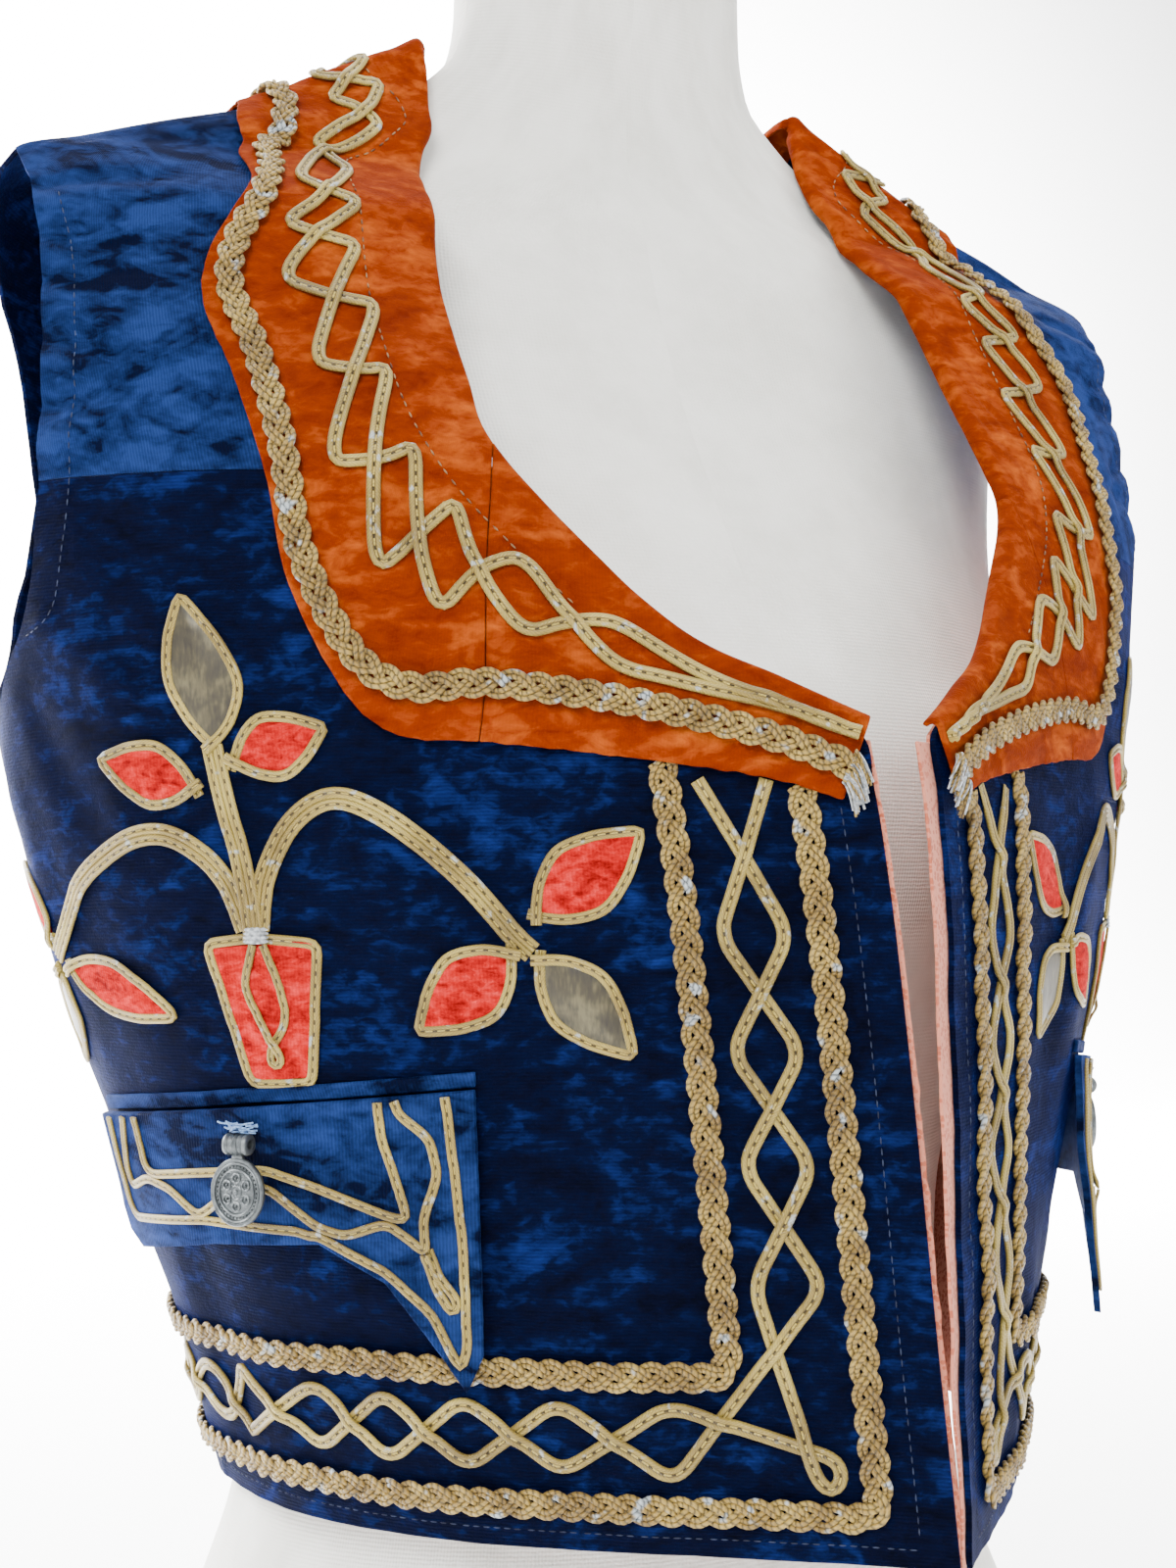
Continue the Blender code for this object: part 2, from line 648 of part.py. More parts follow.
def make_motif(finishes):
    """Red pot with a stem and two drooping branches, each ending in leaves."""
    leaf_shape = ((0, 0.1), (0.16, 0.62), (0.42, 1), (0.7, 0.72), (0.88, 0.34), (1, 0.05))
    for name, side in SIDES.items():
        pot_axis = ((POT["centre"][1], POT["foot"]), (POT["centre"][0], POT["top"]))
        pot_shape = ((0, POT["foot_width"] / 2), (0.5, 0.25 * (POT["foot_width"]
                     + POT["top_width"])), (1, POT["top_width"] / 2))
        patch(f"pot_{name}", side, pot_axis, pot_shape, finishes["red velvet"])
        for leaf, finish, base_length, base_height, tip_length, tip_height, width in LEAVES:
            patch(f"{leaf}_{name}", side, ((base_length, base_height), (tip_length, tip_height)),
                  [(share, width / 2 * part) for share, part in leaf_shape], finishes[finish])
        for stem, route in STEMS:
            spots = along_front(side, smoothed(route, 2))
            ribbon(f"{stem}_{name}", spots, STEM_WIDTH, LAY_GAP, CORD_HEIGHT,
                   finishes["soutache"])


# ---------------------------------------------------------------- pocket flaps

def flap_drop(share):
    """Height of the flap's lower edge at a share of the way out."""
    return read_at([(height, at) for at, height in FLAP_LOWER_EDGE], share)


def flap_point(side, stand, share, down, extra=0):
    """Point of the flap at a share of the way out and a share of the way down."""
    top_length = blend(FLAP_TOP["in"][0], FLAP_TOP["out"][0], share)
    top_height = blend(FLAP_TOP["in"][1], FLAP_TOP["out"][1], share)
    height = blend(top_height, flap_drop(share), down)
    fall = (top_height - height) / 80
    lift = FLAP_LIFT + stand * fall ** 1.3 + extra
    return lifted(side, turn_at(side, top_length, height), height, lift)


def make_flaps(finishes):
    for name, side in SIDES.items():
        shares = sorted([at for at, _ in FLAP_LOWER_EDGE] + [0.13, 0.27, 0.47, 0.75])
        inner, outer = ([[flap_point(side, FLAP_STAND[name], share, down / 5, extra)
                          for down in range(6)] for share in shares] for extra in (0, FLAP_WALL))
        sheet(f"flap_{name}", inner, outer, finishes["royal velvet"])
        welt = []
        for i in range(11):
            length = blend(FLAP_TOP["in"][0], FLAP_TOP["out"][0], i / 10)
            height = blend(FLAP_TOP["in"][1], FLAP_TOP["out"][1], i / 10) + WELT_WIDTH / 2 + 0.6
            welt.append((side, turn_at(side, length, height), height))
        ribbon(f"welt_{name}", welt, WELT_WIDTH, LAY_GAP, VELVET, finishes["royal velvet"])


def united(pieces, name):
    """One object from overlapping ones, by exact unions."""
    base = pieces[0]
    for other in pieces[1:]:
        join = base.modifiers.new("Join", "BOOLEAN")
        join.operation = "UNION"
        join.object = other
    bpy.context.view_layer.update()
    mesh = bpy.data.meshes.new_from_object(base.evaluated_get(bpy.context.evaluated_depsgraph_get()))
    for piece in pieces:
        bpy.data.objects.remove(piece)
    mesh.name = name
    return mesh


def drum(radius, depth, segments, turned):
    bpy.ops.mesh.primitive_cylinder_add(vertices=segments, radius=radius * METRE,
                                        depth=depth * METRE)
    piece = bpy.context.object
    piece.data.transform(turned)
    return piece


def make_coins(finishes):
    """Struck disc under a ribbed tube, hung from its thread; its origin is on that thread."""
    facing = Matrix.Rotation(math.radians(90), 4, "X")
    sideways = Matrix.Rotation(math.radians(90), 4, "Y")
    length, height = COIN_PLACE
    for name, side in SIDES.items():
        disc = drum(COIN_RADIUS, COIN_WALL, 32, Matrix.Translation((0, 0, -BAIL_RISE * METRE))
                    @ facing)
        tube = drum(BAIL_RADIUS, BAIL_LENGTH, 16, sideways)
        mesh = united([disc, tube], f"coin_{name}")
        coin = add_object(f"coin_{name}", mesh, finishes["pewter"])
        thread = height + BAIL_RISE
        normal = outward(side, turn_at(side, length, thread), thread)
        level = Vector((normal.x, normal.y, 0)).normalized()
        share = (length - FLAP_TOP["in"][0]) / (FLAP_TOP["out"][0] - FLAP_TOP["in"][0])
        top = blend(FLAP_TOP["in"][1], FLAP_TOP["out"][1], share)
        down = (top - thread) / (top - flap_drop(share))
        behind = flap_point(side, FLAP_STAND[name], share, down, FLAP_WALL)
        centre = behind + level * (BAIL_RADIUS + BAIL_CLEAR) + Vector((0, 0, HEM_HEIGHT))
        coin.location = centre * METRE
        coin.rotation_euler = (0, 0, math.atan2(level.x, -level.y))


# ---------------------------------------------------------------- dress form

def make_form(finishes):
    """Limbless form, whole and smooth, on a flat base."""
    around = 32
    levels = [row[0] for row in FORM_SECTIONS]
    neck = levels[-1]
    work = bmesh.new()
    bmesh.ops.create_grid(work, x_segments=around, y_segments=len(levels), size=1)
    work.verts.ensure_lookup_table()
    for row, height in enumerate([*levels, neck + 4]):
        draw_in = 0.85 if height > neck else 1
        for column in range(around + 1):
            share = (column % around) * 4 / around
            side = -1 if share < 2 else 1
            turn = share if share < 2 else 4 - share
            point = place(side, turn, height, FORM_SECTIONS)
            vert = work.verts[row * (around + 1) + column]
            vert.co = Vector((point.x * draw_in, point.y * draw_in, height + HEM_HEIGHT)) * METRE
    bmesh.ops.remove_doubles(work, verts=work.verts, dist=0.01 * METRE)
    bmesh.ops.holes_fill(work, edges=work.edges, sides=0)
    bmesh.ops.recalc_face_normals(work, faces=work.faces)
    mesh = bpy.data.meshes.new("dress_form")
    work.to_mesh(mesh)
    work.free()
    add_object("dress_form", mesh, finishes["form linen"])


# ---------------------------------------------------------------- start of the model

for left_over in list(bpy.data.objects):
    bpy.data.objects.remove(left_over)
COLLECTION = bpy.data.collections.new("folk vest on dress form")
bpy.context.scene.collection.children.link(COLLECTION)

FINISHES = {
    "navy velvet": finish_of("navy velvet", (0.006, 0.014, 0.085), 0.75),
    "royal velvet": finish_of("royal velvet", (0.03, 0.08, 0.3), 0.75),
    "orange velvet": finish_of("orange velvet", (0.68, 0.11, 0.012), 0.75),
    "red velvet": finish_of("red velvet", (0.72, 0.04, 0.06), 0.75),
    "olive satin": finish_of("olive satin", (0.18, 0.14, 0.07), 0.6),
    "coral cotton": finish_of("coral cotton", (0.85, 0.3, 0.2), 0.85),
    "plaited cord": finish_of("plaited cord", (0.4, 0.3, 0.14), 0.6),
    "soutache": finish_of("soutache", (0.5, 0.38, 0.15), 0.5),
    "pewter": finish_of("pewter", (0.2, 0.21, 0.22), 0.4, 1.0),
    "form linen": finish_of("form linen", (0.8, 0.79, 0.74), 0.8),
}

make_panels(FINISHES)
make_collar(FINISHES)
make_plaits(FINISHES)
make_soutache(FINISHES)
make_motif(FINISHES)
make_flaps(FINISHES)
make_coins(FINISHES)
make_form(FINISHES)
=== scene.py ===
"""Embroidered folk vest on a limbless dress form: camera, light and the look of each piece.

Lengths in the tables are millimetres, like a maker's pattern; they become metres when a mesh is
made. The cloth follows one surface, the fit of the vest. A place on it is a turn and a height:
turn is 0 where the fronts meet, 1 at the side or the top of the shoulder, and 2 at the centre
back; height is measured up from the hem.
"""

import math
import random
from functools import lru_cache

import bmesh
import bpy
from mathutils import Matrix, Vector, kdtree, noise
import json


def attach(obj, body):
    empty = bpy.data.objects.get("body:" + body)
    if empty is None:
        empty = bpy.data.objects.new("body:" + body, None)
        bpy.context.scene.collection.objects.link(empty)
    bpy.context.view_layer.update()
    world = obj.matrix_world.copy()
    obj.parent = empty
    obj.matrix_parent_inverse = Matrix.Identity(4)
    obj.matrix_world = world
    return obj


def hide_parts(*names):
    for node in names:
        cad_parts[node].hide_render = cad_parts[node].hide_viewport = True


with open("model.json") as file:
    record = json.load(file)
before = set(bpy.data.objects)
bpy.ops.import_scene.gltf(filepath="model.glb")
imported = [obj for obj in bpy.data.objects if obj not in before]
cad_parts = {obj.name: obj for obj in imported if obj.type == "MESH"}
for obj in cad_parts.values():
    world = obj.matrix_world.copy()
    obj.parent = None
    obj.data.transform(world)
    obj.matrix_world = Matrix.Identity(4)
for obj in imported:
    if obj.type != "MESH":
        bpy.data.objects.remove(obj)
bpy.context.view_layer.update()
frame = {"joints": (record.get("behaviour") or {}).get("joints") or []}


# ---------------------------------------------------------------- camera, floor and light
# A close view from a little below the waist and from the wearer's right, so the near front is
# seen square on and the far front from its side. The vest has no free cord, so no cord is laid.

def aimed(azimuth, elevation, roll, position):
    azimuth, elevation, roll = (math.radians(angle) for angle in (azimuth, elevation, roll))
    away = Vector((math.sin(azimuth) * math.cos(elevation),
                   -math.cos(azimuth) * math.cos(elevation), math.sin(elevation)))
    level = Vector((math.cos(azimuth), math.sin(azimuth), 0))
    upright = away.cross(level)
    right = level * math.cos(roll) + upright * math.sin(roll)
    up = upright * math.cos(roll) - level * math.sin(roll)
    turned = Matrix((right, up, away)).transposed().to_4x4()
    return Matrix.Translation(position) @ turned


camera_data = bpy.data.cameras.new("camera")
camera_data.lens = 45.34
camera_data.sensor_width = 36
camera_data.clip_start = 0.01
camera = bpy.data.objects.new("camera", camera_data)
camera.matrix_world = aimed(-27.415, -3.326, -0.482, (-0.3226, -0.612, 0.3807))
bpy.context.scene.collection.objects.link(camera)
bpy.context.scene.camera = camera


def softbox(name, place_at, aim, size, power, colour=(1, 1, 1)):
    lamp = bpy.data.lights.new(name, "AREA")
    lamp.shape = "RECTANGLE"
    lamp.size, lamp.size_y = size
    lamp.energy = power
    lamp.color = colour
    holder = bpy.data.objects.new(name, lamp)
    holder.location = place_at
    holder.rotation_euler = (Vector(aim) - Vector(place_at)).to_track_quat("-Z", "Y").to_euler()
    bpy.context.scene.collection.objects.link(holder)


softbox("window light", (-1.3, -1.5, 1.7), (-0.05, 0, 0.42), (0.9, 1.1), 72)
softbox("fill light", (1.5, -1.3, 0.9), (0.05, 0, 0.4), (1.2, 1.2), 22)
softbox("top light", (0.2, 0.3, 2.2), (0, 0, 0.4), (1.0, 1.0), 30)
softbox("back light", (-0.6, 1.7, 1.3), (0, 0, 0.45), (1.0, 0.8), 22)
softbox("paper light", (-1.6, 1.3, 1.9), (-0.4, 3.6, 0.5), (1.4, 0.9), 900)
softbox("second paper light", (1.8, 1.3, 1.9), (0.9, 3.6, 0.5), (1.4, 0.9), 900)

world = bpy.data.worlds.new("pale room")
world.use_nodes = True
world.node_tree.nodes["Background"].inputs["Color"].default_value = (1, 1, 1, 1)
world.node_tree.nodes["Background"].inputs["Strength"].default_value = 0.95
bpy.context.scene.world = world

SWEEP_FLAT = 2.2        # in metres, how far back the paper lies flat
SWEEP_RADIUS = 1.2
SWEEP_ARC = SWEEP_RADIUS * math.pi / 2

work = bmesh.new()
bmesh.ops.create_grid(work, x_segments=8, y_segments=60, size=1)
for vert in work.verts:
    run = (vert.co.y + 1) * 6 - 4.5
    bend = min(max(run - SWEEP_FLAT, 0), SWEEP_ARC)
    vert.co = Vector((vert.co.x * 6,
                      min(run, SWEEP_FLAT) + SWEEP_RADIUS * math.sin(bend / SWEEP_RADIUS),
                      SWEEP_RADIUS * (1 - math.cos(bend / SWEEP_RADIUS))
                      + max(run - SWEEP_FLAT - SWEEP_ARC, 0)))
sweep_mesh = bpy.data.meshes.new("paper sweep")
work.to_mesh(sweep_mesh)
work.free()
sweep_mesh.shade_smooth()
paper = bpy.data.materials.new("white paper")
paper.use_nodes = True
paper.node_tree.nodes["Principled BSDF"].inputs["Base Color"].default_value = (0.9, 0.9, 0.9, 1)
paper.node_tree.nodes["Principled BSDF"].inputs["Roughness"].default_value = 0.9
sweep_mesh.materials.append(paper)
sweep = bpy.data.objects.new("paper sweep", sweep_mesh)
bpy.context.scene.collection.objects.link(sweep)


# ---------------------------------------------------------------- fronts
# Two fronts of navy crushed velvet, 1.6 mm thick, cut with a low scooped neck and a lean at the
# front edge. They are seamed to the back behind the side and topstitched by the edges.

METRE = 0.001
HEM_HEIGHT = 200        # hem above the base of the form
VELVET = 1.6
SEAM_GAP = 0.3
SIDE_TURN = 1.08
SIDES = {"right": -1, "left": 1}

# height, half_width, front_depth, back_depth, side_y, prow (degrees), front_shift
VEST_SECTIONS = (
    (-30, 125, 180, 98, 0, 46, 16),
    (3, 134, 180, 100, 0, 44, 15),
    (48, 147, 180, 102, 0, 41, 13),
    (108, 168, 180, 108, 0, 38, 11),
    (168, 189, 179, 114, 0, 35, 9),
    (228, 204, 174, 118, 0, 31, 6),
    (288, 214, 135, 120, -9, 8, 4),
    (348, 221, 71, 118, -20, -17, 2),
    (388, 218, 49, 106, -20, -16, 0),
    (408, 206, 43, 96, -16, 0, 0),
    (416, 185, 41, 90, -13, 7, 0),
    (424, 162, 40, 82, -14, 9, 0),
    (433, 134, 36, 74, -14, 10, 0),
    (448, 105, 27, 60, -14, 11, 0),
    (464, 76, 20, 48, -14, 12, 0),
    (474, 60, 18, 42, -14, 12, 0),
)

# inner_turn, inner_height, outer_turn, outer_height, plait_inset, of the collar from its front
# end to the centre back
COLLAR_STATIONS = (
    (0.038, 227, 0.065, 207, 9.0),
    (0.098, 238, 0.120, 213, 11.0),
    (0.163, 251, 0.187, 217, 13.5),
    (0.223, 278, 0.275, 221, 15.5),
    (0.274, 307, 0.359, 224, 16.0),
    (0.281, 327, 0.430, 226, 13.5),
    (0.283, 342, 0.472, 238, 11.5),
    (0.283, 356, 0.497, 268, 10.5),
    (0.281, 368, 0.495, 300, 10.0),
    (0.278, 379, 0.510, 328, 10.0),
    (0.274, 390, 0.532, 352, 10.0),
    (0.270, 399, 0.519, 369, 10.5),
    (0.278, 410, 0.489, 384, 11.5),
    (0.338, 425, 0.462, 399, 12.0),
    (0.415, 437, 0.505, 412, 12.0),
    (0.520, 449, 0.625, 422, 12.0),
    (0.700, 459, 0.800, 429, 12.0),
    (1.000, 465, 1.000, 432, 12.0),
    (1.230, 463, 1.230, 427, 12.0),
    (1.450, 458, 1.450, 416, 12.0),
    (1.700, 452, 1.700, 404, 12.0),
    (2.000, 448, 2.000, 396, 12.0),
)
COLLAR_PIECING = 4
COLLAR_SHOULDER = 17

# turn, height, from the side seam up the front of the armhole
ARMHOLE_FRONT = ((1.075, 238), (1.0, 240), (0.93, 252), (0.875, 262), (0.84, 274), (0.795, 301),
                 (0.762, 335), (0.755, 368), (0.790, 392), (0.865, 403), (1.0, 408))
EDGE_AT_HEM = 3         # front edge from where the fronts meet, at the hem
EDGE_LEAN = 0.05        # and how far it leans away for each millimetre up

# Folds in the velvet: turn and height at each end, half width and depth in millimetres (a minus
# is a valley).
CREASES = (
    (0.80, 392, 0.55, 398, 3.0, -1.9),
    (0.80, 378, 0.60, 372, 3.5, -1.8),
    (0.78, 361, 0.58, 366, 2.6, -1.6),
    (0.79, 345, 0.62, 338, 3.4, -2.0),
    (0.70, 352, 0.60, 318, 3.5, -0.8),
    (0.80, 322, 0.56, 332, 3.2, -1.7),
    (0.81, 309, 0.66, 316, 5.0, 1.2),
    (0.92, 404, 0.74, 396, 3.0, -1.0),
    (0.86, 266, 0.72, 240, 9.0, 1.6),
    (0.90, 240, 0.80, 195, 9.0, -1.8),
    (1.00, 225, 0.93, 150, 12.0, 2.2),
    (0.72, 282, 0.50, 262, 12.0, -1.2),
    (0.48, 215, 0.44, 130, 14.0, 1.4),
    (0.33, 205, 0.36, 110, 12.0, -1.3),
    (0.62, 60, 0.80, 18, 11.0, -1.5),
    (0.88, 110, 0.90, 20, 13.0, -2.0),
    (0.40, 70, 0.30, 10, 12.0, 1.2),
    (1.20, 330, 1.55, 300, 9.0, -2.0),
    (1.22, 290, 1.60, 240, 12.0, 2.0),
    (1.25, 250, 1.60, 170, 12.0, -2.0),
    (1.45, 200, 1.50, 20, 16.0, -2.4),
    (1.78, 210, 1.80, 10, 18.0, -2.2),
    (1.15, 370, 1.60, 385, 8.0, 1.6),
    (1.30, 400, 1.75, 360, 7.0, -1.4),
)
CREASE_TURN = 270       # a turn of cloth, in millimetres, for the creases


def tangents(rows, column):
    """Monotone slopes of a table column, so that it is read without overshoot."""
    steps = [b[0] - a[0] for a, b in zip(rows, rows[1:])]
    rises = [(b[column] - a[column]) / step for a, b, step in zip(rows, rows[1:], steps)]
    slopes = [rises[0]]
    for i in range(1, len(rises)):
        if rises[i - 1] * rises[i] <= 0:
            slopes.append(0.0)
            continue
        before = 2 * steps[i] + steps[i - 1]
        after = steps[i] + 2 * steps[i - 1]
        slopes.append((before + after) / (before / rises[i - 1] + after / rises[i]))
    return slopes + [rises[-1]]


@lru_cache(maxsize=None)
def slopes_of(rows):
    return [None] + [tangents(rows, column) for column in range(1, len(rows[0]))]


@lru_cache(maxsize=None)
def section(rows, height):
    """All columns of a section table at one height."""
    height = min(max(height, rows[0][0]), rows[-1][0])
    i = 0
    while i < len(rows) - 2 and rows[i + 1][0] < height:
        i += 1
    low, high = rows[i], rows[i + 1]
    step = high[0] - low[0]
    t = (height - low[0]) / step
    values = []
    for column in range(1, len(low)):
        slope = slopes_of(rows)[column]
        values.append((1 + 2 * t) * (1 - t) ** 2 * low[column] + t * (1 - t) ** 2 * step * slope[i]
                      + t * t * (3 - 2 * t) * high[column] + t * t * (t - 1) * step * slope[i + 1])
    return values


@lru_cache(maxsize=None)
def quarter(rows, side, height, front):
    """Bezier points of a quarter of a section: centre front to side, or side to centre back."""
    half_width, front_depth, back_depth, side_y, prow, shift = section(rows, height)
    if front:
        width = half_width - side * shift
        depth = front_depth + side_y
        reach = 0.56 * width
        angle = math.radians(prow)
        corners = ((0, -front_depth),
                   (reach * math.cos(angle), reach * math.sin(angle) - front_depth),
                   (width, side_y - 0.5 * depth), (width, side_y))
        return [(shift + side * x, y) for x, y in corners]
    depth = back_depth - side_y
    corners = ((half_width, side_y), (half_width, side_y + 0.56 * depth),
               (0.6 * half_width, back_depth), (0, back_depth))
    return [(side * x, y) for x, y in corners]


def place(side, turn, height, rows=VEST_SECTIONS):
    """Point of the surface at a turn and a height, in millimetres, z from the hem."""
    front = turn <= 1
    a, b, c, d = quarter(rows, side, height, front)
    t = turn if front else turn - 1
    s = 1 - t
    e, f, g, h = s * s * s, 3 * t * s * s, 3 * t * t * s, t * t * t
    return Vector((a[0] * e + b[0] * f + c[0] * g + d[0] * h,
                   a[1] * e + b[1] * f + c[1] * g + d[1] * h, height))


def outward(side, turn, height):
    """Unit normal of the surface, pointing away from the body."""
    height = round(height, 1)
    along = place(side, min(turn + 0.002, 2), height) - place(side, max(turn - 0.002, 0), height)
    up = place(side, turn, height + 0.5) - place(side, turn, height - 0.5)
    return (along.cross(up) * side).normalized()


def crease(side, turn, height):
    """How far the pressed folds and the soft unevenness of the cloth move it out."""
    x = turn * CREASE_TURN
    rise = 0.0
    for turn_a, height_a, turn_b, height_b, half, depth in CREASES:
        ax, bx = turn_a * CREASE_TURN, turn_b * CREASE_TURN
        dx, dy = bx - ax, height_b - height_a
        t = ((x - ax) * dx + (height - height_a) * dy) / (dx * dx + dy * dy)
        if not -0.25 < t < 1.25:
            continue
        off = ((x - ax) * dy - (height - height_a) * dx) / math.hypot(dx, dy)
        if abs(off) > 3 * half:
            continue
        fade = min(1, (0.625 - abs(t - 0.5)) / 0.3)
        rise += depth * math.exp(-(off / half) ** 2) * max(fade, 0)
    spot = Vector((x / 34, height / 30, side * 7))
    rise += 0.9 * noise.noise(spot) + 0.35 * noise.noise(spot * 3.1)
    return rise


def lifted(side, turn, height, lift):
    return place(side, turn, height) + outward(side, turn, height) * (
        lift + crease(side, turn, height))


@lru_cache(maxsize=None)
def front_arc(side, height):
    """Running length round the front at one height, as (turn, length) pairs."""
    pairs = [(0.0, 0.0)]
    for i in range(1, 61):
        turn = i / 50
        step = (place(side, turn, height) - place(side, turn - 0.02, height)).length
        pairs.append((turn, pairs[-1][1] + step))
    return pairs


def turn_at(side, length, height):
    """Turn at a length of cloth from where the fronts meet, along the level line."""
    if length <= 0:
        return length / (front_arc(side, round(height))[1][1] * 50)
    pairs = front_arc(side, round(height))
    for (turn_a, length_a), (turn_b, length_b) in zip(pairs, pairs[1:]):
        if length_b >= length:
            return turn_a + (turn_b - turn_a) * (length - length_a) / (length_b - length_a)
    return pairs[-1][0]


def edge_length(height):
    """Front edge, as a length from where the fronts meet."""
    return EDGE_AT_HEM + EDGE_LEAN * height


def blend(a, b, t):
    return a + (b - a) * t


def smoothed(points, parts):
    """Catmull-Rom curve through the points, with so many parts to each span."""
    ends = [points[0], *points, points[-1]]
    curve = []
    for p, q, r, s in zip(ends, ends[1:], ends[2:], ends[3:]):
        for i in range(parts):
            t = i / parts
            curve.append(tuple(
                0.5 * (2 * b + (c - a) * t + (2 * a - 5 * b + 4 * c - d) * t ** 2
                       + (3 * b - a - 3 * c + d) * t ** 3)
                for a, b, c, d in zip(p, q, r, s)))
    return curve + [tuple(points[-1])]


def read_at(pairs, height):
    """Turn at a height on an edge given as (turn, height) pairs that climb."""
    for (turn_a, a), (turn_b, b) in zip(pairs, pairs[1:]):
        if height <= b:
            return turn_a + (turn_b - turn_a) * (height - a) / (b - a)
    return pairs[-1][0]


def neckline(height):
    """Inner edge of the panels under the collar, a little inside the collar's own edge."""
    inner = [(row[0] + 0.012, row[1]) for row in COLLAR_STATIONS[:COLLAR_SHOULDER + 1]]
    return read_at(inner, height)


def beside_top(side, height, distance):
    """Turn at a short distance behind the top of the shoulder, or in front of it if negative."""
    return 1 + distance / ((place(side, 1, height) - place(side, 0.99, height)).length * 100)


def finished(work, name, finishes, smooth=50):
    """A piece of the vest from a finished bmesh, its place in its mesh."""
    mesh = bpy.data.meshes.new(name)
    work.to_mesh(mesh)
    work.free()
    for finish in finishes:
        mesh.materials.append(finish)
    mesh.shade_smooth()
    mesh.set_sharp_from_angle(angle=math.radians(smooth))
    piece = bpy.data.objects.new(name, mesh)
    bpy.context.scene.collection.objects.link(piece)
    return piece


def wall(name, near, far, marks, finish):
    """Closed wall between two like grids of points; marks are the cloth's own places on it."""
    work = bmesh.new()
    pattern = work.loops.layers.uv.new("cloth")
    bmesh.ops.create_grid(work, x_segments=len(near[0]) - 1, y_segments=len(near) - 1, size=1)
    first = work.verts[:]
    copied = bmesh.ops.duplicate(work, geom=work.verts[:] + work.edges[:] + work.faces[:])
    second = [copied["vert_map"][vert] for vert in first]
    mark_of = {}
    for verts, rows in ((first, near), (second, far)):
        for vert, point, mark in zip(verts, [point for row in rows for point in row],
                                     [mark for row in marks for mark in row]):
            vert.co = (point + Vector((0, 0, HEM_HEIGHT))) * METRE
            mark_of[vert] = mark
    rim = [edge for edge in work.edges if edge.is_boundary]
    bmesh.ops.bridge_loops(work, edges=rim)
    bmesh.ops.recalc_face_normals(work, faces=work.faces)
    for face in work.faces:
        for loop in face.loops:
            loop[pattern].uv = mark_of[loop.vert]
    piece = finished(work, name, [finish])
    edge = piece.modifiers.new("turned edge", "BEVEL")
    edge.limit_method = "ANGLE"
    edge.angle_limit = math.radians(55)
    edge.width = 0.0005
    edge.segments = 2
    return piece


def cloth(name, places, lift, thickness, finish):
    """Wall through rows of (side, turn, height) places, its inner face lifted off the surface."""
    inner = [[lifted(*spot, lift) for spot in row] for row in places]
    outer = [[lifted(*spot, lift + thickness) for spot in row] for row in places]
    marks = [[(turn * CREASE_TURN * METRE, height * METRE) for _, turn, height in row]
             for row in places]
    return wall(name, inner, outer, marks, finish)


def fine_rows(side, edges, parts, columns):
    """Rows between an inner and an outer edge given as (turn, height, turn, height) rows."""
    rows = []
    for inner_turn, inner_height, outer_turn, outer_height in smoothed(edges, parts):
        rows.append([(side, blend(inner_turn, outer_turn, i / columns),
                      blend(inner_height, outer_height, i / columns)) for i in range(columns + 1)])
    return rows


def front_edges(side):
    """Edges of the front panel from the hem to the yoke seam."""
    levels = (0, 30, 62, 94, 126, 158, 186, 210)
    edges = [(turn_at(side, edge_length(height), height), height, SIDE_TURN, height)
             for height in levels]
    edges += [(neckline(height), height, *outer) for height, outer in
              zip((226, 237, 248, 260, 272), ARMHOLE_FRONT)]
    edges.append((neckline(300.8), 300.8, ARMHOLE_FRONT[5][0], 300.8))
    return edges


def add(material, kind, values=(), **sockets):
    """A shader node; sockets takes numbers, colours or other nodes' sockets by name."""
    node = material.node_tree.nodes.new("ShaderNode" + kind)
    for name, value in dict(values).items():
        setattr(node, name, value)
    for name, value in sockets.items():
        number = name.rsplit("_", 1)[-1]
        key = int(number) if number.isdigit() else name.replace("_", " ").title()
        if isinstance(value, bpy.types.NodeSocket):
            material.node_tree.links.new(value, node.inputs[key])
        else:
            node.inputs[key].default_value = value
    return node


def ramp(material, factor, *stops):
    """Colours along a factor, as (position, colour) stops."""
    node = add(material, "ValToRGB", Fac_0=factor)
    band = node.color_ramp
    while len(band.elements) < len(stops):
        band.elements.new(0.5)
    for element, (position, colour) in zip(band.elements, stops):
        element.position = position
        element.color = (*colour, 1)
    return node.outputs["Color"]


def math_of(material, operation, a, b=0.5):
    return add(material, "Math", {"operation": operation}, x_0=a, x_1=b).outputs[0]


def colour_mix(material, blend_type, factor, a, b):
    node = add(material, "Mix", {"data_type": "RGBA", "blend_type": blend_type})
    for key, value in ((0, factor), (6, a), (7, b)):
        if isinstance(value, bpy.types.NodeSocket):
            material.node_tree.links.new(value, node.inputs[key])
        else:
            node.inputs[key].default_value = value if key == 0 else (*value, 1)
    return node.outputs[2]


def new_finish(name, roughness, **constants):
    """A named finish; its even qualities are set on the shader itself."""
    material = bpy.data.materials.new(name)
    material.use_nodes = True
    shader = material.node_tree.nodes["Principled BSDF"]
    shader.inputs["Roughness"].default_value = roughness
    for socket, value in constants.items():
        shader.inputs[socket.replace("_", " ")].default_value = value
    return material, shader


def dress(material, shader, colour, height=None, depth=0.0002, strength=0.5):
    """Links a colour and a bump to the shader."""
    material.node_tree.links.new(colour, shader.inputs["Base Color"])
    if height is not None:
        bump = add(material, "Bump", Strength=strength, Distance=depth, Height=height)
        material.node_tree.links.new(bump.outputs["Normal"], shader.inputs["Normal"])


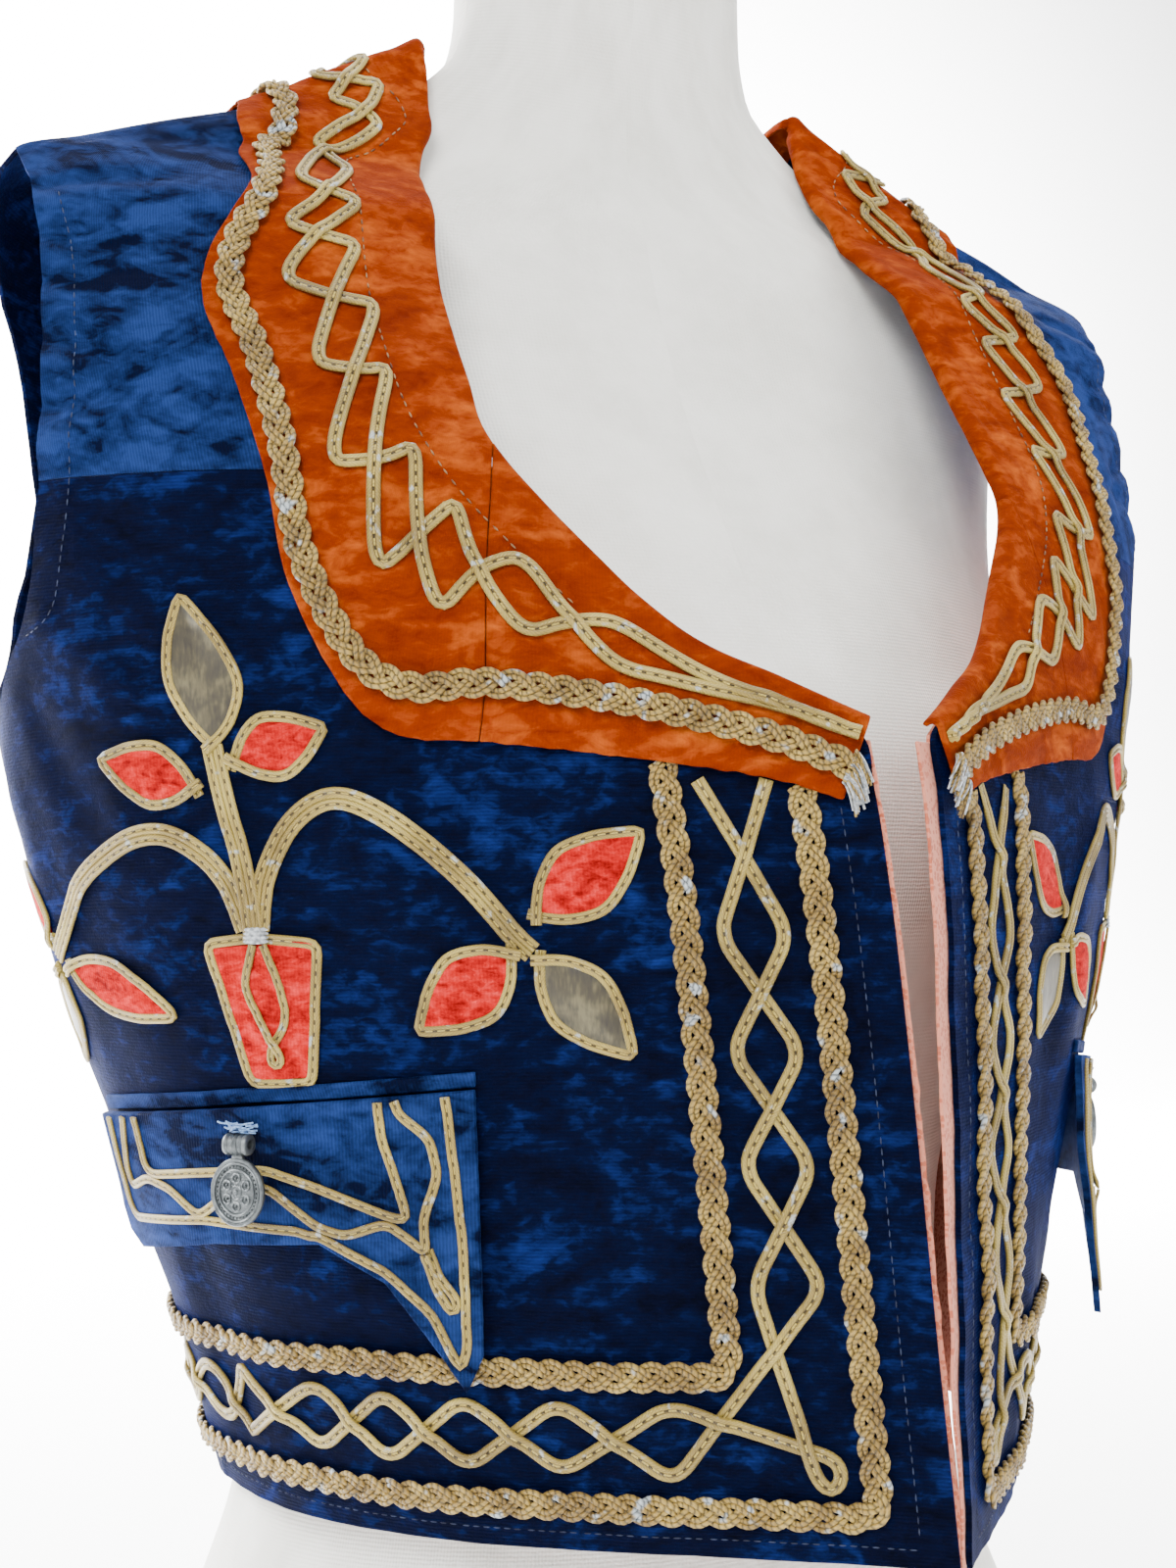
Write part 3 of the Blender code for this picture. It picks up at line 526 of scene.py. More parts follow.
def velvet(name, dark, middle, light, stops, patch, crush, tint, sheen, rib_along=(0, 1),
           ribbing=0.34):
    """Crushed pile: nap pressed this way and that in patches, over a fine rib of the ground. The
    pale end of the patches' colour ramp is painted highlight, laid over the nap's own mottling.
    """
    material, shader = new_finish(name, 0.78, Sheen_Weight=sheen, Sheen_Roughness=0.32,
                                  Sheen_Tint=(*tint, 1), Specular_IOR_Level=0.03)
    where = add(material, "TexCoord").outputs["Object"]
    stretched = add(material, "Mapping", Vector=where, Scale=(1.0, 1.0, 1.9)).outputs[0]
    patches = add(material, "TexNoise", Vector=stretched, Scale=1 / patch, Detail=3.0,
                  Roughness=0.58, Distortion=1.3).outputs[0]
    crushed = add(material, "TexNoise", Vector=stretched, Scale=1 / crush, Detail=4.0,
                  Roughness=0.62, Distortion=0.5).outputs[0]
    flecks = add(material, "TexNoise", Vector=where, Scale=1500.0, Detail=2.0).outputs[0]
    nap_and_sheen = math_of(material, "ADD", math_of(material, "MULTIPLY", patches, 0.55),
                  math_of(material, "MULTIPLY", crushed, 0.45))
    # the light stop of this ramp is painted highlight on the crushed pile; the darker stops are the
    # nap's own mottled colour
    colour = ramp(material, nap_and_sheen, *zip(stops, (dark, middle, light)))
    marks = add(material, "UVMap", {"uv_map": "cloth"}).outputs[0]
    rib = add(material, "TexWave", {"wave_type": "BANDS",
                                    "bands_direction": "Y" if rib_along[1] else "X"},
              Vector=marks, Scale=310.0, Distortion=2.2, Detail=2.0, Detail_Scale=0.6)
    shade = math_of(material, "ADD", math_of(material, "MULTIPLY", rib.outputs[1], ribbing),
                    1 - 0.55 * ribbing)
    ribbed = colour_mix(material, "MULTIPLY", 1.0, colour, shade)
    pile = math_of(material, "ADD", math_of(material, "MULTIPLY", rib.outputs[1], 1.5 * ribbing),
                   math_of(material, "ADD", flecks, math_of(material, "MULTIPLY", nap_and_sheen, 6.0)))
    dress(material, shader, ribbed, pile, 0.00035, 0.55)
    return material


navy = velvet("navy velvet", (0.0002, 0.0006, 0.0045), (0.0006, 0.0018, 0.014),
              (0.0045, 0.0145, 0.092), (0.36, 0.52, 0.70), 0.034, 0.006, (0.03, 0.10, 0.8), 0.10)

for name, side in SIDES.items():
    rows = fine_rows(side, front_edges(side), 7, 104)
    front = cloth(f"velvet_front_{name}", rows, -VELVET, VELVET, navy)
    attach(front, "vest")
    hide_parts(f"front_{name}")
    flat, area = {"right": ((0.285, 0.355), 0.0763), "left": ((0.275, 0.35), 0.0725)}[name]


# ---------------------------------------------------------------- yokes
# Royal blue velvet over each shoulder, its nap turned the other way so that it looks paler, and
# crushed along sharp lines. It is seamed to the front, and to the back on the shoulder.

royal = velvet("royal velvet", (0.0006, 0.0018, 0.012), (0.0036, 0.0100, 0.046),
               (0.0105, 0.027, 0.110), (0.42, 0.47, 0.60), 0.040, 0.009, (0.08, 0.2, 0.9), 0.12,
               rib_along=(1, 0))

for name, side in SIDES.items():
    neck_levels = (301.2, 335, 368, 392, 408, 422, 440, 463)
    outers = [(0.795, 301.2), *ARMHOLE_FRONT[6:9], (0.835, 400), (0.890, 404.5), (0.95, 407),
              (1.0, 408)]
    edges = [(neckline(height), height, *outer) for height, outer in zip(neck_levels, outers)]
    rows = fine_rows(side, edges, 9, 52)
    rows[-1] = [(s, beside_top(side, height, -SEAM_GAP / 2), height) for s, _, height in rows[-1]]
    yoke = cloth(f"velvet_yoke_{name}", rows, -VELVET, VELVET, royal)
    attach(yoke, "vest")
    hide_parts(f"yoke_{name}")


# ---------------------------------------------------------------- back
# One piece of the navy velvet with no centre seam, up to the shoulders and the back of the neck.

# turn, height, from the side seam up the back of the armhole
ARMHOLE_BACK = ((1.10, 240), (1.16, 247), (1.25, 262), (1.33, 290), (1.37, 325), (1.34, 360),
                (1.22, 389), (1.0, 408))

levels = (0, 30, 62, 94, 126, 158, 186, 210, 226)
back_edges = [(SIDE_TURN + 0.003, height, height) for height in levels]
back_edges.append((SIDE_TURN + 0.003, 238, 240))
back_edges += [(turn, height, centre) for (turn, height), centre in
               zip(ARMHOLE_BACK[1:7], (250, 270, 297, 322, 346, 369))]
back_edges += [(beside_top(1, height, SEAM_GAP / 2), height, centre) for height, centre in
               ((408, 386), (414, 395), (420, 403), (427, 411), (436, 420), (447, 429),
                (456, 437), (463, 445))]
rows = []
for turn, height, centre in smoothed(back_edges, 4):
    half = [(blend(2, turn, 1 - i / 72), blend(centre, height, (1 - i / 72) ** 2))
            for i in range(72)]
    row = [(-1, *spot) for spot in half] + [(-1, 2.0, centre)]
    rows.append(row + [(1, *spot) for spot in reversed(half)])
back = cloth("velvet_back", rows, -VELVET, VELVET, navy)
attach(back, "vest")
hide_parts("back")


# ---------------------------------------------------------------- lining
# Coral cotton with a small woven dot, 1 mm thick, felled inside the fronts. It is cut a little
# wide, so it shows as a raw thin edge on the right front and a broader strip on the left.

LINING = 1.0

coral, shader = new_finish("coral cotton", 0.9, Sheen_Weight=0.15, Specular_IOR_Level=0.2)
marks = add(coral, "UVMap", {"uv_map": "cloth"}).outputs[0]
dots = add(coral, "TexVoronoi", Vector=marks, Scale=700.0).outputs["Distance"]
dye = add(coral, "TexNoise", Vector=marks, Scale=60.0, Detail=4.0).outputs[0]
tone = ramp(coral, dye, (0.3, (0.34, 0.075, 0.036)), (0.7, (0.46, 0.125, 0.068)))
between_dots = math_of(coral, "GREATER_THAN", dots, 0.45)
woven = colour_mix(coral, "MIX", between_dots, tone, (0.54, 0.19, 0.12))
dress(coral, shader, woven, dots, 0.0002, 0.7)

for name, side in SIDES.items():
    levels = [4 * i for i in range(57)]
    shown = (1.3, 1.6) if side < 0 else (1.6, 8.5)
    rows = []
    for height in levels:
        reach = blend(shown[0], shown[1], min(height / 110, 1))
        reach += 0.5 * noise.noise(Vector((height / 3, side, 0))) * (1.2 if side < 0 else 0.5)
        edge = turn_at(side, edge_length(height) - reach, height)
        near = turn_at(side, edge_length(height) + 24, height)
        rows.append([(side, blend(edge, near, i / 8), height) for i in range(9)]
                    + [(side, blend(near, SIDE_TURN, i / 20), height) for i in range(1, 21)])
    strip = cloth(f"lining_edge_{name}", rows, -VELVET - SEAM_GAP - LINING, LINING, coral)
    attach(strip, "vest")
    upper = front_edges(side)[7:]
    upper = [(*row[:3], min(row[3], 300.5)) for row in upper]
    rows = fine_rows(side, [(a, max(b, 213), c, max(d, 213)) for a, b, c, d in upper], 3, 28)
    lining = cloth(f"cotton_lining_{name}", rows, -VELVET - SEAM_GAP - LINING, LINING, coral)
    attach(lining, "vest")
    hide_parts(f"lining_{name}")


# ---------------------------------------------------------------- collar
# Orange velvet laid on over the neck edge and turned round it in a soft roll. Each side is two
# pieces, joined near the front, and one more runs across the back. It is worn pale at its folds;
# here its pale patches, scattered by the velvet's noise, are that wear and painted highlight
# together.

COLLAR = 1.8
COLLAR_GAP = 1.5
PIECING_TURN = 0.0003   # half the clear gap of the collar's piecing, as a turn
ROLL = 3.4              # outer radius of the rolled inner edge

# the light stop of the orange is wear and painted highlight in one
orange = velvet("orange velvet", (0.10, 0.0072, 0.0002), (0.165, 0.0175, 0.0007),
                (0.40, 0.082, 0.007), (0.34, 0.50, 0.72), 0.034, 0.008, (1.0, 0.36, 0.08), 0.10,
                ribbing=0.05)


def collar_cloth(name, side_rows, finish):
    """Collar wall from (side, inner turn, inner height, outer turn, outer height) rows."""
    inner, outer, marks = [], [], []
    columns = 34
    for side, inner_turn, inner_height, outer_turn, outer_height, run in side_rows:
        length = (place(side, inner_turn, inner_height)
                  - place(side, outer_turn, outer_height)).length
        ragged = 0.5 * noise.noise(Vector((run / 4, side * 3, 1))) / length
        near, far, mark = [], [], []
        for i in range(columns + 1):
            share = blend(-ragged, 1, i / columns)
            turn = blend(outer_turn, inner_turn, share)
            height = blend(outer_height, inner_height, share)
            puff = 0.5 * noise.noise(Vector((run / 11, share * length / 11, side)))
            edge_ease = min(i, 3) / 3
            base = COLLAR_GAP + puff * edge_ease
            near.append(lifted(side, turn, height, base))
            far.append(lifted(side, turn, height, base + COLLAR * (0.7 + 0.3 * edge_ease)))
            mark.append((share * length * METRE, run * METRE))
        for i in range(1, 8):
            angle = math.radians(20 * i)
            for points, radius in ((near, ROLL - COLLAR), (far, ROLL)):
                share = 1 + radius * math.sin(angle) / length
                turn = blend(outer_turn, inner_turn, share)
                height = blend(outer_height, inner_height, share)
                points.append(lifted(side, max(min(turn, 2), 0), height, COLLAR_GAP + COLLAR - ROLL
                                     + radius * math.cos(angle) + puff * max(1 - i / 4, 0)))
            mark.append(((length + ROLL * angle) * METRE, run * METRE))
        inner.append(near)
        outer.append(far)
        marks.append(mark)
    return wall(name, inner, outer, marks, finish)


def collar_curve(side, first, last, parts):
    curve = smoothed(COLLAR_STATIONS, parts)[first * parts:last * parts + 1]
    run = 0.0
    rows = []
    for i, row in enumerate(curve):
        if i:
            run += (place(side, row[2], row[3]) - place(side, *curve[i - 1][2:4])).length
        rows.append((side, *row[:4], run + first * 20))
    return rows


behind_both = []
for name, side in SIDES.items():
    front = collar_curve(side, 0, COLLAR_PIECING, 14)
    rest = collar_curve(side, COLLAR_PIECING, COLLAR_SHOULDER, 8)
    for rows, end, apart in ((front, -1, -PIECING_TURN), (rest, 0, PIECING_TURN)):
        row = rows[end]
        rows[end] = (side, row[1] + apart, row[2], row[3] + apart, *row[4:])
    at_top = rest[-1]
    rest[-1] = (side, beside_top(side, at_top[2], -SEAM_GAP / 2), at_top[2],
                beside_top(side, at_top[4], -SEAM_GAP / 2), *at_top[4:])
    for label, rows, flat, area in (("front", front, (0.086, 0.133), 0.0045),
                                    ("side", rest, (0.116, 0.27), 0.0146)):
        collar = collar_cloth(f"velvet_collar_{label}_{name}", rows, orange)
        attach(collar, "vest")
        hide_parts(f"collar_{label}_{name}")
    behind = collar_curve(side, COLLAR_SHOULDER, len(COLLAR_STATIONS) - 1, 12)
    at_top = behind[0]
    behind[0] = (side, beside_top(side, at_top[2], SEAM_GAP / 2), at_top[2],
                 beside_top(side, at_top[4], SEAM_GAP / 2), *at_top[4:])
    behind_both.append(behind)
right, left = behind_both
collar = collar_cloth("velvet_collar_back", right + left[-2::-1], orange)
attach(collar, "vest")
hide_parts("collar_back")


# ---------------------------------------------------------------- plaited edgings
# Antique gold plaits, 10 mm wide: three strands of two corded threads each. One follows the
# front edge and the hem, one lies inside it, and one follows the collar's outer edge, each
# caught down with small stitches.

COLLAR_TOP = COLLAR_GAP + COLLAR + 0.3
OUTER_PLAIT = 20
INNER_PLAIT = 57
HEM_PLAIT = 13
HEM_UPPER_PLAIT = 50
PLAIT_PITCH = 21.0      # length in which a strand crosses over and back
PLAIT_SWING = 2.9       # how far a strand swings to each side
PLAIT_RISE = 0.72       # how far it goes over and under
CORD_RADIUS = 0.78
TWIN_OFFSET = 0.74      # of each cord of a strand from the strand's middle

gold_cord, shader = new_finish("plaited gold thread", 0.52, Specular_IOR_Level=0.45,
                               Sheen_Weight=0.1)
marks = add(gold_cord, "UVMap", {"uv_map": "cloth"}).outputs[0]
split = add(gold_cord, "SeparateXYZ", Vector=marks)
phase = math_of(gold_cord, "ADD", math_of(gold_cord, "MULTIPLY", split.outputs[1], 620.0),
                split.outputs[0])
ply = math_of(gold_cord, "PINGPONG", phase, 0.5)
where = add(gold_cord, "TexCoord").outputs["Object"]
lots = add(gold_cord, "TexNoise", Vector=where, Scale=90.0, Detail=2.0).outputs[0]
worn = add(gold_cord, "TexNoise", Vector=where, Scale=170.0, Detail=2.0, Roughness=0.4).outputs[0]
fibre = add(gold_cord, "TexNoise", Vector=where, Scale=2600.0, Detail=2.0).outputs[0]
gold = ramp(gold_cord, lots, (0.34, (0.125, 0.072, 0.010)), (0.5, (0.20, 0.124, 0.021)),
            (0.68, (0.29, 0.195, 0.040)))
bare = add(gold_cord, "MapRange", Value=worn, From_Min=0.64, From_Max=0.70).outputs[0]
greyed = colour_mix(gold_cord, "MIX", bare, gold, (0.30, 0.33, 0.34))
# painted shade in the grooves between the plies and painted highlight on their crests, since the
# factor runs from 0.24 to 1.28
painted_groove_shading = add(gold_cord, "MapRange", Value=ply, From_Min=0.0, From_Max=0.28, To_Min=0.24,
             To_Max=1.28).outputs[0]
ply_shaded = colour_mix(gold_cord, "MULTIPLY", 1.0, greyed, painted_groove_shading)
dress(gold_cord, shader, ply_shaded,
      math_of(gold_cord, "ADD", math_of(gold_cord, "MULTIPLY", ply, 2.4),
              math_of(gold_cord, "MULTIPLY", fibre, 0.5)), 0.00035, 0.8)


def evenly(centres, ups, step):
    """Path re-spaced to even steps: (centre, along, up, across, distance) for each."""
    runs = [0.0]
    for a, b in zip(centres, centres[1:]):
        runs.append(runs[-1] + (b - a).length)
    count = max(int(runs[-1] / step), 2)
    points, i = [], 0
    for k in range(count + 1):
        at = runs[-1] * k / count
        while i < len(runs) - 2 and runs[i + 1] < at:
            i += 1
        t = (at - runs[i]) / max(runs[i + 1] - runs[i], 1e-6)
        points.append((centres[i].lerp(centres[i + 1], t), ups[i].lerp(ups[i + 1], t), at))
    ups = [sum((point[1] for point in points[max(k - 6, 0):k + 7]), Vector()).normalized()
           for k in range(count + 1)]
    path = []
    for k, (centre, _, at) in enumerate(points):
        up = ups[k]
        along = (points[min(k + 1, count)][0] - points[max(k - 1, 0)][0]).normalized()
        across = along.cross(up).normalized()
        path.append((centre, along, across.cross(along), across, at))
    return path


def path_on(spots, lift, step):
    """Even path along (side, turn, height) spots of the vest."""
    return evenly([lifted(*spot, lift) for spot in spots], [outward(*spot) for spot in spots], step)


def tube(work, pattern, rings, marks_round, runs):
    """Adds a closed tube through rings of points, marked round and along it."""
    around = len(rings[0])
    made = bmesh.ops.create_grid(work, x_segments=around, y_segments=len(rings) - 1, size=1)
    verts = made["verts"]
    mark_of = {}
    for index, vert in enumerate(verts):
        row, column = divmod(index, around + 1)
        vert.co = (rings[row][column % around] + Vector((0, 0, HEM_HEIGHT))) * METRE
        mark_of[vert] = (marks_round[column], runs[row] * METRE)
    for face in {face for vert in verts for face in vert.link_faces}:
        for loop in face.loops:
            loop[pattern].uv = mark_of[loop.vert]
    seam = [vert for index, vert in enumerate(verts) if index % (around + 1) in (0, around)]
    bmesh.ops.remove_doubles(work, verts=seam, dist=1e-7)
    ends = [edge for edge in work.edges if edge.is_boundary]
    bmesh.ops.holes_fill(work, edges=ends, sides=0)


def fibre(work, pattern, points, up, step, radius):
    """Adds a thin four-sided thread through the points."""
    path = evenly(points, [up] * len(points), step)
    rings = [[middle + (across * math.cos(n * math.pi / 2) + over * math.sin(n * math.pi / 2))
              * radius for n in range(4)] for middle, _, over, across, _ in path]
    tube(work, pattern, rings, [0, 0.25, 0.5, 0.75, 1], [spot[4] for spot in path])


def plaited(name, path, flatten=lambda run: 1.0):
    """Plait of three strands, each of two round cords side by side, along a path."""
    work = bmesh.new()
    pattern = work.loops.layers.uv.new("cloth")
    sides = 7
    turns = 2 * math.pi / PLAIT_PITCH
    for strand in range(3):
        for twin in (-1, 1):
            middles = []
            for centre, along, up, across, run in path:
                phase = run * turns + strand * 2 * math.pi / 3
                slope = PLAIT_SWING * turns * math.cos(phase)
                size = math.hypot(1, slope)
                x = PLAIT_SWING * math.sin(phase) + twin * TWIN_OFFSET / size
                s = -twin * TWIN_OFFSET * slope / size
                z = PLAIT_RISE * math.sin(2 * phase)
                squash = flatten(run)
                middles.append(centre + along * s + across * x
                               + up * (CORD_RADIUS + PLAIT_RISE + z) * squash)
            rings = []
            last = len(middles) - 1
            for k, middle in enumerate(middles):
                ahead = (middles[min(k + 1, last)] - middles[max(k - 1, 0)]).normalized()
                beside = ahead.cross(path[k][2]).normalized()
                over = beside.cross(ahead)
                rings.append([middle + (beside * math.cos(2 * math.pi * n / sides)
                                        + over * math.sin(2 * math.pi * n / sides))
                              * CORD_RADIUS for n in range(sides)])
            tube(work, pattern, rings, [n / sides for n in range(sides + 1)],
                 [spot[4] for spot in path])
    bmesh.ops.recalc_face_normals(work, faces=work.faces)
    return finished(work, name, [gold_cord], smooth=80)


def along_front(side, route):
    """Spots of a route given as (length from the front line, height)."""
    return [(side, turn_at(side, length, height), height) for length, height in route]


def border_plait(side, offset, hem_height, top):
    """Plait down the front border, round its corner and along the hem to the centre back."""
    corner = 6
    route = [(edge_length(height) + offset, height)
             for height in [blend(top, hem_height + corner, i / 60) for i in range(61)]]
    middle = (edge_length(hem_height) + offset + corner, hem_height + corner)
    route += [(middle[0] - corner * math.cos(math.radians(a)),
               middle[1] - corner * math.sin(math.radians(a))) for a in (18, 36, 54, 72)]
    last = front_arc(side, round(hem_height))[-8][1]
    route += [(blend(middle[0], last, i / 90), hem_height) for i in range(91)]
    spots = along_front(side, route)
    return spots + [(side, blend(spots[-1][1], 1.999, i / 90), hem_height) for i in range(1, 91)]


@lru_cache(maxsize=None)
def collar_line(parts):
    return smoothed(COLLAR_STATIONS, parts)


def collar_spot(side, station, share):
    """Place on the collar at a station, share 0 on the plait's middle, 1 on the inner edge."""
    curve = collar_line(12)
    i = min(int(station * 12), len(curve) - 2)
    inner_turn, inner_height, outer_turn, outer_height, inset = (
        blend(a, b, station * 12 - i) for a, b in zip(curve[i], curve[i + 1]))
    outer = place(side, outer_turn, outer_height)
    along = inset / (place(side, inner_turn, inner_height) - outer).length
    along = blend(along, 1, share)
    return (side, blend(outer_turn, inner_turn, along), blend(outer_height, inner_height, along))


for name, side in SIDES.items():
    def under_collar(run):
        return min(1, 0.35 + run / 14)

    outer = plaited(f"plaited_outer_{name}",
                    path_on(border_plait(side, OUTER_PLAIT, HEM_PLAIT, 211), 0.1, 1.4),
                    under_collar)
    inner = plaited(f"plaited_inner_{name}",
                    path_on(border_plait(side, INNER_PLAIT, HEM_UPPER_PLAIT, 218), 0.1, 1.4),
                    under_collar)
    stations = len(COLLAR_STATIONS) - 1
    round_collar = [collar_spot(side, blend(0.02, stations - 0.01, i / 260), 0)
                    for i in range(261)]
    edging = plaited(f"plaited_collar_{name}", path_on(round_collar, COLLAR_TOP, 1.4))
    for piece, node in ((outer, "plait_outer"), (inner, "plait_inner"), (edging, "plait_collar")):
        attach(piece, "vest")
        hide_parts(f"{node}_{name}")


# ---------------------------------------------------------------- soutache
# Gold soutache, 4 mm wide: two cords side by side with a row of backstitches down the groove.
# Two strands zigzag between the plaits and cross again and again, over and under in turn.

FRONT_CROSSINGS = (188, 153, 124, 91, 59)
HEM_CROSSINGS = (64, 96, 125, 150, 173, 198, 235)
CORNER_NEAR = 29
CORNER_FAR = 48
HEM_CORNER_LOW = 22
HEM_CORNER_HIGH = 42
BORDER_TOP = 215
COLLAR_CROSSINGS = (2.2, 3.1, 4.0, 5.3, 6.6, 7.8, 9.0, 10.4, 11.6, 12.8, 14.8, 16.1, 17.3, 18.5,
                    19.7)
COLLAR_CORNER_OUT = 0.25
COLLAR_CORNER_IN = 0.64
# across and up of the cord's section, for a cord 4 mm wide
CORD_SECTION = ((-2.0, 0.55), (-1.7, 1.15), (-1.1, 1.42), (-0.5, 1.15), (0.0, 0.62), (0.5, 1.15),
                (1.1, 1.42), (1.7, 1.15), (2.0, 0.55), (1.4, -0.2), (-1.4, -0.2))

soutache, shader = new_finish("soutache", 0.42, Specular_IOR_Level=0.5, Sheen_Weight=0.1)
marks = add(soutache, "UVMap", {"uv_map": "cloth"}).outputs[0]
split = add(soutache, "SeparateXYZ", Vector=marks)
beside = math_of(soutache, "ABSOLUTE", split.outputs[0], 0)
wound = math_of(soutache, "ADD", math_of(soutache, "MULTIPLY", split.outputs[1], 950.0),
                math_of(soutache, "MULTIPLY", beside, 1.1))
ply = math_of(soutache, "PINGPONG", wound, 0.5)
where = add(soutache, "TexCoord").outputs["Object"]
lots = add(soutache, "TexNoise", Vector=where, Scale=45.0, Detail=3.0).outputs[0]
worn = add(soutache, "TexNoise", Vector=where, Scale=260.0, Detail=2.0).outputs[0]
gold = ramp(soutache, lots, (0.32, (0.15, 0.098, 0.012)), (0.5, (0.25, 0.175, 0.025)),
            (0.68, (0.37, 0.28, 0.055)))
bare = add(soutache, "MapRange", Value=worn, From_Min=0.63, From_Max=0.70).outputs[0]
greyed = colour_mix(soutache, "MIX", bare, gold, (0.34, 0.36, 0.34))
in_groove = add(soutache, "MapRange", Value=beside, From_Min=0.62, From_Max=0.38).outputs[0]
# between the backstitches the groove is painted near-black, as shade at its bottom
stitch = math_of(soutache, "FRACT", math_of(soutache, "MULTIPLY", split.outputs[1], 290.0), 0)
gap = math_of(soutache, "GREATER_THAN", stitch, 0.62)
thread = colour_mix(soutache, "MIX", gap, (0.50, 0.39, 0.10), (0.04, 0.026, 0.008))
in_middle = add(soutache, "MapRange", Value=beside, From_Min=0.34, From_Max=0.16).outputs[0]
backstitched = colour_mix(soutache, "MIX", in_middle, greyed, thread)
shade = add(soutache, "MapRange", Value=ply, From_Min=0.0, From_Max=0.3, To_Min=0.72,
            To_Max=1.05).outputs[0]
ridged = colour_mix(soutache, "MULTIPLY", 1.0, backstitched, shade)
# painted shade down the sides of the groove between the two cords
painted_groove_shading = math_of(soutache, "MULTIPLY", in_groove,
                 math_of(soutache, "GREATER_THAN", beside, 0.26))
groove_shaded = colour_mix(soutache, "MULTIPLY", painted_groove_shading, ridged, (0.36, 0.30, 0.22))
dress(soutache, shader, groove_shaded, ply, 0.0003, 0.7)


def cornered(route, reach, step):
    """Route with each corner rounded over a reach, and straights cut to short steps."""
    eased = [route[0]]
    for before, corner, after in zip(route, route[1:], route[2:]):
        ends = []
        for end in (before, after):
            share = min(reach / max(math.dist(end, corner), 1e-6), 0.46)
            ends.append(tuple(blend(c, e, share) for c, e in zip(corner, end)))
        for i in range(7):
            t = i / 6
            eased.append(tuple((1 - t) ** 2 * p + 2 * t * (1 - t) * c + t * t * q
                               for p, c, q in zip(ends[0], corner, ends[1])))
    eased.append(route[-1])
    fine = [eased[0]]
    for a, b in zip(eased, eased[1:]):
        parts = max(math.ceil(math.dist(a, b) / step), 1)
        fine += [tuple(blend(p, q, i / parts) for p, q in zip(a, b)) for i in range(1, parts + 1)]
    return fine


def zigzag(crossings, low, high, start_low):
    """Corners half way between crossings, low and high in turn, as (place, offset)."""
    return [((a + b) / 2, low if (i % 2 == 0) == start_low else high)
            for i, (a, b) in enumerate(zip(crossings, crossings[1:]))]


def over_and_under(paths):
    """Raises each cord where it crosses another or itself, over and under in turn."""
    tree = kdtree.KDTree(sum(len(path) for path in paths))
    owner = []
    for number, path in enumerate(paths):
        for k, spot in enumerate(path):
            tree.insert(spot[0], len(owner))
            owner.append((number, k))
    tree.balance()
    rises = [[0.0] * len(path) for path in paths]
    count = 0
    for number, path in enumerate(paths):
        k = 0
        while k < len(path):
            best = None
            for _, index, gap in tree.find_range(path[k][0], 1.2):
                other, m = owner[index]
                if (other, m) != (number, k) and (other > number or (other == number
                                                                   and m > k + 12)):
                    if best is None or gap < best[0]:
                        best = (gap, other, m)
            if best is None:
                k += 1
                continue
            count += 1
            upper = (number, k) if count % 2 else (best[1], best[2])
            rise = rises[upper[0]]
            for n in range(max(upper[1] - 12, 0), min(upper[1] + 13, len(rise))):
                off = paths[upper[0]][n][4] - paths[upper[0]][upper[1]][4]
                rise[n] = max(rise[n], 1.5 * math.exp(-(off / 3.6) ** 2))
            k += 6
    return rises


def corded(name, paths, rises, scale=1.0, flatten=None):
    """Soutache along one or more paths, as one piece."""
    work = bmesh.new()
    pattern = work.loops.layers.uv.new("cloth")
    for path, rise in zip(paths, rises):
        rings = []
        for k, (centre, along, up, across, run) in enumerate(path):
            low = flatten(run) if flatten else 1.0
            rings.append([centre + across * (x * scale) + up * (z * scale * low + rise[k])
                          for x, z in CORD_SECTION])
        round_it = [x for x, _ in CORD_SECTION] + [CORD_SECTION[0][0]]
        tube(work, pattern, rings, round_it, [spot[4] for spot in path])
    bmesh.ops.recalc_face_normals(work, faces=work.faces)
    return finished(work, name, [soutache], smooth=70)


def border_strand(side, starts_near):
    """One soutache strand of the border: down the front, round the corner, along the hem."""
    def from_edge(offset, height):
        return (edge_length(height) + offset, height)

    first = CORNER_NEAR if starts_near else CORNER_FAR
    route = [from_edge(first, BORDER_TOP - 2)]
    route += [from_edge(offset, height) for height, offset in
              zigzag(FRONT_CROSSINGS, CORNER_NEAR, CORNER_FAR, not starts_near)]
    if starts_near:
        route += [(79, HEM_CORNER_LOW - 1)]
    else:
        route += [(43, 34), (40.5, 23), (36.5, 19.5), (33.2, 23), (34.6, 28.5), (45, 31.5),
                  (80, HEM_CORNER_HIGH)]
    route += zigzag(HEM_CROSSINGS[1:], HEM_CORNER_LOW, HEM_CORNER_HIGH, not starts_near)
    flat = cornered(route, 6, 2.5)
    spots = along_front(side, [spot for spot in flat if spot[0] <= HEM_CROSSINGS[-1]])
    side_turn = spots[-1][1]
    count = 9
    pitch = (2 - side_turn) / (count - 0.5)
    starts_low = (len(HEM_CROSSINGS) % 2 == 0) == starts_near
    back_route = [(side_turn, spots[-1][2])]
    for i in range(count):
        high = (i % 2 == 0) == starts_low
        back_route.append((side_turn + pitch * (i + 0.5),
                           HEM_CORNER_HIGH if high else HEM_CORNER_LOW))
    back_route[-1] = (1.997, (HEM_CORNER_LOW + HEM_CORNER_HIGH) / 2)
    stretched = cornered([(turn * 150, height) for turn, height in back_route], 6, 2.5)
    return spots + [(side, turn / 150, height) for turn, height in stretched[1:]]


